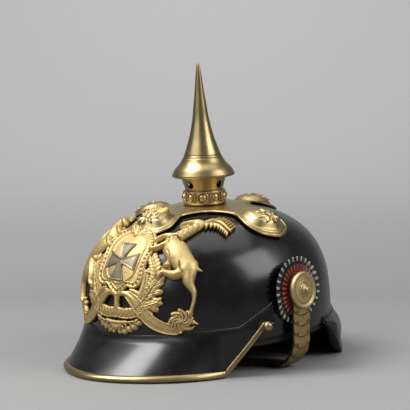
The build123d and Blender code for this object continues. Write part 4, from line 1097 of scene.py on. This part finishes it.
def addPlate():
    high = np.where(relief.high < 0.2, 0, relief.high)
    solid = high > 0.55
    spots = plateToSkull(relief.gridS, relief.gridT)
    outs = skullOut(spots)
    # the crest climbs over the base's front lobe
    overLobe = (np.clip((relief.gridT - 92) / 14, 0, 1)
                * np.clip(1 - (np.abs(relief.gridS + 1.5) - 14) / 6, 0, 1))
    lifted = plate["lift"] + 5.2 * overLobe
    shown = np.where(solid, 0.65 * high + 0.35 * blurred(high, 1), 0.55)
    top = spots + outs * (lifted + np.maximum(shown * 0.86, 0.5))[..., None]
    low = spots + outs * np.maximum(lifted - 0.2, 0.1)[..., None]
    rows, columns = solid.shape
    cell = solid[:-1, :-1] & solid[1:, :-1] & solid[:-1, 1:] & solid[1:, 1:]
    used = np.zeros((rows, columns), bool)
    for a in (0, 1):
        for b in (0, 1):
            used[a:rows - 1 + a, b:columns - 1 + b] |= cell
    count = int(used.sum())
    index = -np.ones((2, rows, columns), int)
    index[0][used] = np.arange(count)
    index[1][used] = np.arange(count) + count
    i, j = np.nonzero(cell)
    corners = ((i, j), (i, j + 1), (i + 1, j + 1), (i + 1, j))
    sheets = [np.stack([index[0][corner] for corner in corners], 1),
              np.stack([index[1][corners[k]] for k in (0, 3, 2, 1)], 1)]
    padded = np.pad(cell, 1)
    for (di, dj), (a, b) in (((-1, 0), ((0, 0), (0, 1))), ((1, 0), ((1, 1), (1, 0))),
                             ((0, -1), ((1, 0), (0, 0))), ((0, 1), ((0, 1), (1, 1)))):
        # a wall wherever the next cell is open
        i, j = np.nonzero(cell & ~padded[1 + di:rows + di, 1 + dj:columns + dj])
        first, second = (i + a[0], j + a[1]), (i + b[0], j + b[1])
        sheets.append(np.stack([index[0][second], index[0][first], index[1][first], index[1][second]], 1))
    # painted shade where the relief lies below its blurred surroundings, like ambient occlusion, and heavy
    # painted shade underneath
    around = high
    for step in range(6):
        around = blurred(around, 2)
    painted_shade = np.clip((around - high) * 0.75 + 0.08, 0, 1)
    addPiece("front_plate_brass", np.concatenate([top[used], low[used]]), np.concatenate(sheets).tolist(),
             "gilt", ["front_plate"], values={"painted_shade": np.concatenate([painted_shade[used], np.full(count, 0.9)])})


cross = dict(centre=(-1.9, 63.8), half=15.5, root=1.2, rootWidth=2.6, flare=5.2, seat=3.55, foot=2.2)


def addCross():
    # four flaring arms with a raised edge, seated on the shield
    heap = Heap()
    for quarter in circle(4):
        c, s = math.cos(quarter), math.sin(quarter)
        rows, dark = [], []
        for share in np.linspace(0, 1, 26):
            t = cross["root"] + share * (cross["half"] - cross["root"])
            width = cross["rootWidth"] + cross["flare"] * share ** 1.35
            row, shade = [], []
            for along in np.linspace(-1, 1, 25):
                edge = min(width * (1 - abs(along)), cross["half"] - t)
                lift = 0.35 + 0.75 * math.exp(-((edge - 0.7) / 0.55) ** 2) + (0.15 if edge > 1.4 else 0)
                row.append((cross["centre"][0] + along * width * c - t * s,
                            cross["centre"][1] + along * width * s + t * c, lift if edge > 0.02 else -0.6))
                # painted shade along the arms' outline and in the dip inside their raised edge, and on the
                # foot
                shade.append(0.7 if edge < 0.3 else 0.55 * math.exp(-((edge - 1.9) / 0.6) ** 2))
            rows.append(row)
            dark.append(shade)
        rows = np.array(rows)
        spots = plateToSkull(rows[..., 0], rows[..., 1])
        placed = spots + skullOut(spots) * (cross["seat"] + rows[..., 2])[..., None]
        foot = spots[-1] + skullOut(spots[-1]) * cross["foot"]
        heap.put(np.concatenate([placed, foot[None]]), np.array(dark + [[0.8] * 25]), closeColumns=False)
    addHeap("plate_cross_silvered", heap, "silvered", ["plate_cross"])


addPlate()
addCross()
print("stage: plate made")

# Cockades, rosettes and their screws, on each side
sides = dict(height=33.3, back=4.0, tilt=math.radians(4.5), seat=96.2, rosette=101.5)


def sidePlace(side, seat, rows):
    rows = np.asarray(rows, float)
    ahead = np.array([side * math.cos(sides["tilt"]), 0, math.sin(sides["tilt"])])
    first = np.array([0.0, float(side), 0.0])
    second = np.cross(ahead, first)
    start = np.array([side * seat, -sides["back"],
                      sides["height"] + (seat - sides["rosette"]) * math.tan(sides["tilt"])])
    return start + rows[..., :1] * first + rows[..., 1:2] * second + rows[..., 2:3] * ahead


# two dished discs a side; marks give the span of the wave, the radii and the colour, as painted highlights on
# the black disc's flute crests near its edge and painted shade in the red ring's troughs and in its middle
# under the rosette
discs = (dict(name="cockade", edge=26.0, drop=0.0, thick=0.9, slot="black_enamel", colour="121212",
              marks=((0.3, 0.6, 22.4, 99, "3a3836"), (0.6, 2, 22.8, 99, "b4b0a6"))),
         dict(name="cockade_ring", edge=19.9, drop=1.05, thick=0.5, slot="red_enamel", colour="a8402e",
              marks=((-2, -0.35, 0, 99, "2c1410"), (-2, 2, 0, 14.5, "7c2c20"))))
flutes, discHole = 30, 2.8


def addCockade(side, word, disc):
    turn = circle(480)
    wave = np.cos(turn * flutes)
    # the edge stands forward, but lies back where the strap passes over it
    low = np.clip((-np.sin(turn) - 0.25) / 0.45, 0, 1)
    rows, enamel_and_painted_light = [], []
    for radius in (discHole, *np.linspace(8, disc["edge"], 34)):
        fall = (2.35 * low - 0.9 * (1 - low)) * max(radius - 8, 0) / 18
        share = max(radius - 9, 0) / (disc["edge"] - 9)
        lift = disc["drop"] + disc["thick"] - fall + 0.55 * share * wave * min(1, share * 2)
        scallop = radius + 0.45 * wave * (radius == disc["edge"])
        rows.append(np.stack([scallop * np.cos(turn), scallop * np.sin(turn), lift], -1))
        colour = np.tile(linear(disc["colour"]), (len(turn), 1))
        for least, most, inner, outer, tint in disc["marks"]:
            if inner < radius <= outer:
                colour[(wave > least) & (wave <= most)] = linear(tint)
        enamel_and_painted_light.append(colour)
    under = [row - np.array([0, 0, disc["thick"]]) for row in rows]
    rows += under[-1:] + under[::-1]
    # painted shade on the row along the disc's edge underneath
    enamel_and_painted_light += [enamel_and_painted_light[-1] * [0.4, 0.4, 0.4, 1]] + enamel_and_painted_light[::-1]
    addGrid(f"{word}_{disc['name']}_painted", sidePlace(side, sides["seat"], rows), "enamel",
            [f"{word}_{disc['name']}"], slot=disc["slot"], closeRows=True, colours=enamel_and_painted_light)


rosette = dict(
    cap=((13.624, 0.0), (14.456, 0.2), (14.56, 1.6), (14.248, 2.7), (13.52, 3.15), (12.688, 3.0),
         (11.96, 2.35), (11.336, 2.1), (10.712, 2.15), (9.776, 2.35), (8.528, 2.5), (7.488, 2.55),
         (6.864, 2.75), (6.552, 2.75), (5.824, 2.7), (4.784, 3.1), (3.536, 3.3)),
    grooves=(0.52, 0.86), sheet=0.8,
    screw=((2.6, -10.5), (2.6, 3.2), (3.6, 3.3), (4.0, 3.8), (3.6, 4.5), (2.5, 4.8), (2.1, 5.2), (2.3, 6.0),
           (2.5, 6.8), (2.2, 7.4), (1.2, 7.6), (0.02, 7.65)), slotHalf=0.45, slotTop=6.3, slotFoot=6.6)


def addRosette(side, word):
    rows = lathe(resample(rosette["cap"], 70), 96)
    along = np.linspace(0, 1, 70)[:, None]
    # painted shade in the cap's two grooves and on its underside
    dark = np.clip(sum(np.exp(-((along - at) / 0.03) ** 2) * 0.8 for at in rosette["grooves"]), 0, 1)
    dark = np.repeat(dark, 96, 1)
    rows = np.concatenate([rows, rows[::-1] - [0, 0, rosette["sheet"]]], 0)
    addGrid(f"{word}_rosette_brass", sidePlace(side, sides["rosette"], rows), "satin", [f"{word}_rosette"],
            closeRows=True, values={"painted_shade": np.concatenate([dark, dark * 0 + 0.8], 0)})
    rows = lathe(resample(rosette["screw"], 60), 48)
    slotCut = (np.abs(rows[..., 0]) < rosette["slotHalf"]) & (rows[..., 2] > rosette["slotTop"])
    rows[..., 2] = np.where(slotCut, rosette["slotFoot"], rows[..., 2])
    # painted shade in the screw's slot and in the waist below its head
    dark = np.where(slotCut, 1.0, np.exp(-((rows[..., 2] - 5.1) / 0.3) ** 2) * 0.7)
    addGrid(f"{word}_rosette_screw_brass", sidePlace(side, sides["rosette"], rows), "satin",
            [f"{word}_rosette_screw"], values={"painted_shade": dark})


for side, word in ((1, "left"), (-1, "right")):
    for disc in discs:
        addCockade(side, word, disc)
    addRosette(side, word)
print("stage: side fittings made")

# Chin strap: pressed scales on a leather strap, laid out on the table in millimetres
strap = dict(face=100.3, level=2.35, bend=22.0, bow=44.0, width=18.6, endWidth=14.0, thick=1.6, hole=3.0,
             leftShort=8.0, roundEdge=0.35)
scale = dict(start=7.0, pitch=8.6, length=11.8, free=15.0, overhang=1.12, clear=0.2, rise=1.25, sheet=0.7,
             straight=0.55)
pivot = stand([0.0, -sides["back"], sides["height"]]) * 1000


def strapPath():
    rows = [(strap["face"], pivot[1], pivot[2], 0, 0, -1, 1, 0, 0)]
    leg = pivot[2] - strap["level"] - strap["bend"]
    for share in np.linspace(0, 1, 80)[1:]:
        rows.append((strap["face"], pivot[1], pivot[2] - leg * share, 0, 0, -1, 1, 0, 0))
    for a in np.linspace(0, math.pi / 2, 60)[1:]:
        rows.append((strap["face"] - strap["bend"] + strap["bend"] * math.cos(a), pivot[1],
                     strap["level"] + strap["bend"] - strap["bend"] * math.sin(a),
                     -math.sin(a), 0, -math.cos(a), math.cos(a), 0, -math.sin(a)))
    span = strap["face"] - strap["bend"]
    for x in np.linspace(span, 0, 160)[1:]:
        ahead = strap["bow"] / 2 * (1 + math.cos(math.pi * x / span))
        slope = strap["bow"] / 2 * math.sin(math.pi * x / span) * math.pi / span
        size = math.hypot(1, slope)
        rows.append((x, pivot[1] - ahead, strap["level"], -1 / size, -slope / size, 0, 0, 0, -1))
    rows = np.array(rows)
    return rows, lengths(rows[:, :3])


strapRows, strapSteps = strapPath()


def onStrap(side, length, sideways, above):
    row = [np.interp(length, strapSteps, strapRows[:, k]) for k in range(9)]
    place, along, out = np.array(row[:3]), np.array(row[3:6]), np.array(row[6:9])
    across = np.cross(along, out)
    spot = place + unit(across) * sideways + out * above
    return np.array([side * spot[0], spot[1], spot[2]]) * 0.001


def halfAt(length):
    share = np.clip(length / strapSteps[-1], 0, 1)
    return (strap["width"] + (strap["endWidth"] - strap["width"]) * share) / 2


def addScales(side, word):
    heap = Heap()
    across = np.linspace(-1, 1, 19)
    start = scale["start"]
    while start + scale["length"] < strapSteps[-1] - scale["free"]:
        rows, dark = [], []
        for along in np.linspace(0, 1, 14):
            wide = halfAt(start) * scale["overhang"]
            if along < scale["straight"]:
                wide *= 0.95 + 0.05 * math.sin(along * math.pi)
            else:
                wide *= math.sqrt(max(1 - ((along - scale["straight"]) / 0.47) ** 2.4, 0.02))
            at = start + scale["length"] * along
            edge = 0.28 * math.exp(-((1 - along) / 0.12) ** 2)
            arch = (0.55 * (1 - across ** 2) - 0.3) * 0.6
            lifts = scale["clear"] + scale["rise"] * (0.15 + 0.85 * along) + arch
            upper = [onStrap(side, at, v * wide, lift + scale["sheet"] - edge)
                     for v, lift in zip(across, lifts)]
            lower = [onStrap(side, at, v * wide, max(lift, 0.05)) for v, lift in zip(across, lifts)]
            rows.append(upper + lower[::-1])
            # painted shade in the punched spots, under the next scale's edge and along the edges, and on the
            # underside
            spots = (np.abs(np.abs(across) - 0.74) < 0.12) * (0.72 < along < 0.86)
            under = 0.95 * np.exp(-((along - 0.30 + 0.28 * across ** 2) / 0.11) ** 2)
            shade = np.maximum(np.maximum(spots, under), 0.5 * (np.abs(across) > 0.93))
            dark.append([*shade, *[0.8] * len(across)])
        heap.put(rows, np.array(dark), capped=True)
        start += scale["pitch"]
    addHeap(f"{word}_chin_scales_brass", heap, "scales", [f"{word}_chin_scales"], "chin_strap", placed=True)


def addSlab(name, flat, faces, place, thick, material, nodes, body):
    # flat mesh of two sheets with walls round its open edges, and rounded edges
    count = len(flat)
    points = [place(u, v, high) for high in (0.0, -thick) for u, v in flat]
    edges = dict.fromkeys(pair for face in faces for pair in zip(face, face[1:] + face[:1]))
    walls = [(b, a, a + count, b + count) for a, b in edges if (b, a) not in edges]
    under = [tuple(k + count for k in face[::-1]) for face in faces]
    faces = [tuple(face) for face in faces] + under + walls
    item = addPiece(name, points, faces, material, nodes, body, placed=True)
    bevel = item.modifiers.new("rounded", "BEVEL")
    bevel.width, bevel.segments, bevel.limit_method = strap["roundEdge"] * 0.001, 2, "ANGLE"


def addLeather(side, word):
    end = strapSteps[-1] - (strap["leftShort"] if side > 0 else 0.0)
    radius, hole, columns = strap["width"] / 2, strap["hole"], 9
    # rings of points from the screw's hole out to a round end behind it and a straight join ahead
    turn = [math.atan2(v, 1) for v in np.linspace(-1, 1, columns)]
    for first, last, steps in ((0.25, 0.5, 6), (0.5, 1.5, 25), (-0.5, -0.25, 6)):
        turn += list(np.linspace(math.pi * first, math.pi * last, steps)[1:])
    turn.pop()
    flat, faces = [], []
    for share in np.linspace(0, 1, 6):
        for c, s in ((math.cos(a), math.sin(a)) for a in turn):
            far = radius if c <= 1e-9 else min(radius / max(abs(s), 1e-9), radius / c)
            flat.append((c * (hole + (far - hole) * share), s * (hole + (far - hole) * share)))
    n = len(turn)
    for i in range(5):
        for j in range(n):
            k = (j + 1) % n
            faces.append([i * n + j, (i + 1) * n + j, (i + 1) * n + k, i * n + k])
    last = [5 * n + j for j in range(columns)]
    for at in np.linspace(radius, end, 90)[1:]:
        # the right half ends in a rounded tongue
        tip = math.sqrt(max(1 - ((at - end + 9) / 9.6) ** 2, 0.05)) if at > end - 9 and side < 0 else 1.0
        row = list(range(len(flat), len(flat) + columns))
        flat += [(at, share * halfAt(at) * tip) for share in np.linspace(-1, 1, columns)]
        faces += [[last[j], row[j], row[j + 1], last[j + 1]] for j in range(columns - 1)]
        last = row

    def place(u, v, h):
        return onStrap(side, max(u, 0.0), v, h) - np.array([0, 0, min(u, 0.0)]) * 0.001

    addSlab(f"{word}_chin_leather_strap", flat, faces, place, strap["thick"], "strapLeather",
            [f"{word}_chin_leather"], "chin_strap")


for side, word in ((1, "left"), (-1, "right")):
    addScales(side, word)
    addLeather(side, word)
print("stage: chin scales made")

# Sweatband, liner and its drawstring
band = dict(thick=1.3, line=((-2.9, -6.0), (-2.9, -3.0), (-2.95, 0.0), (-4.2, 5.0), (-5.6, 11.0),
                             (-7.05, 17.0)))


def ovalRow(turn, out, z):
    # row round the skull at its foot's size plus a measure outwards
    return np.stack([(halfWidth + out) * np.sin(turn), -(halfLength + out) * np.cos(turn), z + 0 * turn], -1)


def addBand():
    turn = circle(240)
    line = curveThrough(band["line"], 26)
    rows = []
    for g, z in [*line, *(line[::-1] - [band["thick"], 0])]:
        rows.append(ovalRow(turn, g + 0.35 * np.sin(turn * 11 + z * 0.1) * np.clip((z + 6) / 23, 0, 1), z))
    addGrid("sweatband_leather", rows, "bandLeather", ["sweatband"], closeRows=True)


liner = dict(outer=-8.0, inner=-9.2, hole=24.0, foot=17.3, pleats=26, pleat=0.9)


def addLiner():
    turn = circle(240)
    r, z = quarterLine(1500)
    keep = r * (halfLength + liner["outer"]) >= liner["hole"]
    keep &= z * (crown + liner["outer"]) >= liner["foot"]
    line = resample(np.stack([r[keep], z[keep]], 1), 50)
    rows = []
    for grow, order in ((liner["outer"], 1), (liner["inner"], -1)):
        for share, up in line[::order]:
            pleat = liner["pleat"] * np.cos(turn * liner["pleats"]) * np.clip((0.62 - share) / 0.4, 0, 1)
            rows.append(np.stack([(halfWidth + grow) * share * np.sin(turn),
                                  -(halfLength + grow) * share * np.cos(turn),
                                  up * (crown + grow) - pleat * 0.9], -1))
    cloth = addGrid("skull_liner_cloth", rows, "liner", ["skull_liner"], closeRows=True)


addBand()
addLiner()


def tube(path, radius, steps=8, closed=False):
    path = np.asarray(path, float)
    rows = []
    count = len(path)
    for i in range(count):
        a = path[(i - 1) % count] if closed or i else path[0]
        b = path[(i + 1) % count] if closed or i < count - 1 else path[-1]
        way = unit(b - a)
        u = unit(np.cross(way, np.array([0, 0, 1.0] if abs(way[2]) < 0.9 else [1.0, 0, 0])))
        v = np.cross(way, u)
        rows.append([path[i] + radius * (math.cos(k) * u + math.sin(k) * v) for k in circle(steps)])
    return np.array(rows)


cord = dict(level=85.4, ring=22.65, radius=1.0, steps=12, strands=3, strandDepth=0.13, lay=0.35)


def strands(path, closed=False):
    rows = tube(path, cord["radius"], cord["steps"], closed)
    twist = circle(cord["steps"])[None] + np.arange(len(rows))[:, None] * cord["lay"]
    swell = 1 + cord["strandDepth"] * np.cos(cord["strands"] * twist)
    return path[:, None] + (rows - path[:, None]) * swell[..., None]


def addDrawstring():
    # three-strand cord round the liner's hole, with its two tied ends and the knot
    turn, up = circle(360), np.array([0, 0, cord["level"]])
    heap = Heap()
    heap.put(strands(np.stack([cord["ring"] * np.cos(turn), cord["ring"] * np.sin(turn), 0 * turn], 1) + up,
                     True), closeRows=True)
    for away in (-1, 1):
        end = np.array([(0.6, 22.2, -0.6), (3.2, 21.0, -2.6), (5.0, 20.0, -7.0), (4.4, 19.6, -13.0)])
        heap.put(strands(curveThrough(end * [away, 1, 1] + up, 60)))
        heap.faces.append(tuple(range(len(heap.points) - cord["steps"], len(heap.points))))
    knot = np.array([(-2.0, 22.4, -1.6), (-0.6, 21.0, -0.2), (1.4, 20.8, -1.8), (0.4, 22.4, -2.8),
                     (-1.4, 21.6, -2.4), (-2.0, 22.4, -1.6)])
    heap.put(strands(curveThrough(knot + up, 70)))
    addPiece("liner_drawstring_cord", heap.points, heap.faces, "cord", ["liner_drawstring"])


def addBuckle():
    low, high = (np.array(corner) * 1000 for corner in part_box("chin_buckle"))
    middle, half = (low + high) / 2, (high - low) / 2
    wire = half[2]
    x, y = half[0] - wire, half[1] - wire
    loop = roundedLoop([(-x, -y), (x, -y), (x, y), (-x, y)], [3.0] * 4, 8, [10] * 4)
    path = np.stack([loop[:, 0], loop[:, 1], 0 * loop[:, 0]], 1) + middle
    addGrid("chin_buckle_wire", tube(path, wire * 0.98, 14, True) * 0.001, "steel", ["chin_buckle"],
            "chin_strap", closeRows=True, placed=True)
    low, high = (np.array(corner) * 1000 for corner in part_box("buckle_tongue"))
    path = np.linspace([low[0] - 0.3, middle[1], middle[2] + 0.05],
                       [high[0] + 0.3, middle[1], middle[2] + 0.1], 30)
    share = np.linspace(0, 1, 30)[:, None, None]
    thinner = 1 - 0.35 * share ** 3 - 0.5 * (share > 0.99)
    rows = path[:, None] + (tube(path, 0.72, 14) - path[:, None]) * thinner
    tongue = Heap()
    tongue.put(rows * 0.001, capped=True)
    addPiece("buckle_tongue_wire", tongue.points, tongue.faces, "steel", ["buckle_tongue"], "chin_strap",
             placed=True)


addDrawstring()
addBuckle()

# Stitches: short thread runs along the brims' seams
stitch = dict(length=2.6, pitch=4.2, radius=0.28)


def addStitches(name, path):
    path = resample(path, int(lengths(np.asarray(path))[-1] / 0.35))
    steps = lengths(path)
    heap = Heap()
    start = 1.0
    while start + stitch["length"] < steps[-1]:
        run = []
        for share in np.linspace(0, 1, 6):
            at = start + share * stitch["length"]
            spot = np.array([np.interp(at, steps, path[:, k]) for k in range(3)])
            run.append(spot + skullOut(spot[None])[0] * (0.22 * math.sin(math.pi * share) - 0.12))
        heap.put(tube(run, stitch["radius"], 6))
        start += stitch["pitch"]
    addPiece(name, heap.points, heap.faces, "thread", [])


addStitches("visor_stitching_thread", [inSection(angle, -1, [(1.15, visorTop(abs(angle)) - 1.7)])[0]
                                       for angle in np.linspace(-72, 72, 160)])
addStitches("guard_stitching_thread", [inSection(angle, 1, [(1.5, guard["flange"] - 1.6)])[0]
                                       for angle in np.linspace(-69, 69, 150)])
print("stage: lining and stitches made")

# solids that already show their shape take their material as they are
for name in ("trim_ball_nuts", "star_stud_nuts", "spike_sleeve", "plate_posts", "plate_post_nuts",
             "left_rosette_nut", "right_rosette_nut", "strap_keeper"):
    paintNode(name, "inner")
for name in ("spike_neck", "spine_rivet"):
    paintNode(name, "polished")
print("stage: solids painted")

# Studio: pale floor running up into a backdrop, soft lights; the floor's grey is painted darker under and
# behind the helmet and lighter up the backdrop, as painted light
studio = dict(width=6.0, back=3.2, radius=1.4, height=3.5, mirrored=0.7,
              floorRows=(-3.0, -1.0, -0.6, -0.4, -0.25, -0.1, 0.0, 0.1, 0.2, 0.35, 0.5, 0.7, 1.0, 1.4, 1.8),
              painted_floor_light_at=(-3.0, -0.25, 0.0, 0.35, 1.0, 1.8, 3.2),
              painted_floor_lights=(0.34, 0.34, 0.31, 0.27, 0.40, 0.62, 0.80))


def addStudio():
    line = [(back, 0.0) for back in studio["floorRows"]]
    for a in np.linspace(0, math.pi / 2, 24)[1:]:
        line.append((studio["back"] - studio["radius"] + studio["radius"] * math.sin(a),
                     studio["radius"] * (1 - math.cos(a))))
    line.append((studio["back"], studio["height"]))
    away = math.radians(42.0)
    rows = []
    for back, high in line:
        rows.append([(across * math.cos(away) - back * math.sin(away),
                      across * math.sin(away) + back * math.cos(away), high)
                     for across in np.linspace(-studio["width"] / 2, studio["width"] / 2, 8)])
    rows = np.array(rows)
    mesh = bpy.data.meshes.new("floor")
    mesh.from_pydata(rows.reshape(-1, 3).tolist(), [], gridFaces(rows.shape[0], 8, False, False))
    # painted light: the grey set by distance back, darker under and behind the helmet
    painted_floor_lights = np.interp([back for back, high in line], studio["painted_floor_light_at"], studio["painted_floor_lights"])
    layer = mesh.attributes.new("painted_floor_light", "FLOAT", "POINT")
    layer.data.foreach_set("value", np.repeat(painted_floor_lights, 8).astype(np.float32))
    mesh.polygons.foreach_set("use_smooth", [True] * len(mesh.polygons))
    floor = bpy.data.objects.new("floor", mesh)
    bpy.context.collection.objects.link(floor)
    material, tree, shader, _ = newMaterial("matt_grey_paper", {"Roughness": 0.85, "Specular IOR Level": 0.2})
    glossy = addNode(tree, "LightPath").outputs["Is Glossy Ray"]
    seen = mapRange(tree, glossy, 0.0, 1.0, 1.0, studio["mirrored"])
    level = maths(tree, "MULTIPLY", attribute(tree, "painted_floor_light"), seen)
    grey = addNode(tree, "CombineColor", {}, {"Red": level, "Green": level, "Blue": level}).outputs["Color"]
    setSurface(tree, shader, grey)
    mesh.materials.append(material)


def addLight(name, place, target, size, power):
    data = bpy.data.lights.new(name, "AREA")
    data.shape = "RECTANGLE"
    data.size, data.size_y = size
    data.energy = power
    item = bpy.data.objects.new(name, data)
    item.location = place
    way = Vector(target) - Vector(place)
    item.rotation_mode = "QUATERNION"
    item.rotation_quaternion = way.to_track_quat("-Z", "Y")
    bpy.context.collection.objects.link(item)


addStudio()
aim = (0.0, 0.0, 0.09)
addLight("soft_box_high", (-0.50, -0.66, 1.60), aim, (0.85, 0.85), 26.0)
addLight("soft_box_front", (-0.30, -1.45, 0.95), aim, (1.7, 0.9), 8.5)
addLight("soft_box_side", (1.25, 0.42, 1.0), aim, (0.95, 0.95), 11.0)
addLight("soft_box_top", (0.1, 0.3, 1.8), aim, (1.4, 1.2), 7.0)
addLight("soft_box_back", (-0.95, 1.05, 2.2), (-2.1, 2.35, 0.7), (2.0, 0.6), 18.0)
world = bpy.data.worlds.new("studio_air")
bpy.context.scene.world = world
world.use_nodes = True
air = world.node_tree.nodes["Background"]
air.inputs["Color"].default_value = linear("b8b8b8")
# fuller where the camera sees past the backdrop than as light on the helmet
seenRays = addNode(world.node_tree, "LightPath").outputs["Is Camera Ray"]
world.node_tree.links.new(mapRange(world.node_tree, seenRays, 0.0, 1.0, 0.25, 0.85), air.inputs["Strength"])

# Camera at the photograph's place
lens = dict(azimuth=math.radians(41.98), far=1251.2, height=229.6, pitch=math.radians(4.79),
            yaw=math.radians(0.16), roll=math.radians(-0.71), focal=1519.5)


def addCamera():
    place = np.array([math.sin(lens["azimuth"]) * lens["far"], -math.cos(lens["azimuth"]) * lens["far"],
                      lens["height"]])
    heading = math.atan2(-place[1], -place[0]) + lens["yaw"]
    look = np.array([math.cos(heading) * math.cos(lens["pitch"]), math.sin(heading) * math.cos(lens["pitch"]),
                     -math.sin(lens["pitch"])])
    right = np.cross(look, [0, 0, 1])
    right = right / np.linalg.norm(right)
    up = np.cross(right, look)
    c, s = math.cos(lens["roll"]), math.sin(lens["roll"])
    right, up = c * right + s * up, -s * right + c * up
    data = bpy.data.cameras.new("camera")
    data.sensor_width = 36.0
    data.lens = lens["focal"] * 36.0 / 410.0
    data.clip_start, data.clip_end = 0.05, 30.0
    item = bpy.data.objects.new("camera", data)
    bpy.context.collection.objects.link(item)
    spot = (place + np.array([0, shift, 0])) * 0.001
    rows = [[right[k], up[k], -look[k], spot[k]] for k in range(3)] + [[0, 0, 0, 1]]
    item.matrix_world = Matrix(rows)
    bpy.context.scene.camera = item


addCamera()
bpy.context.scene.view_settings.view_transform = "Standard"
print("stage: studio and camera made")
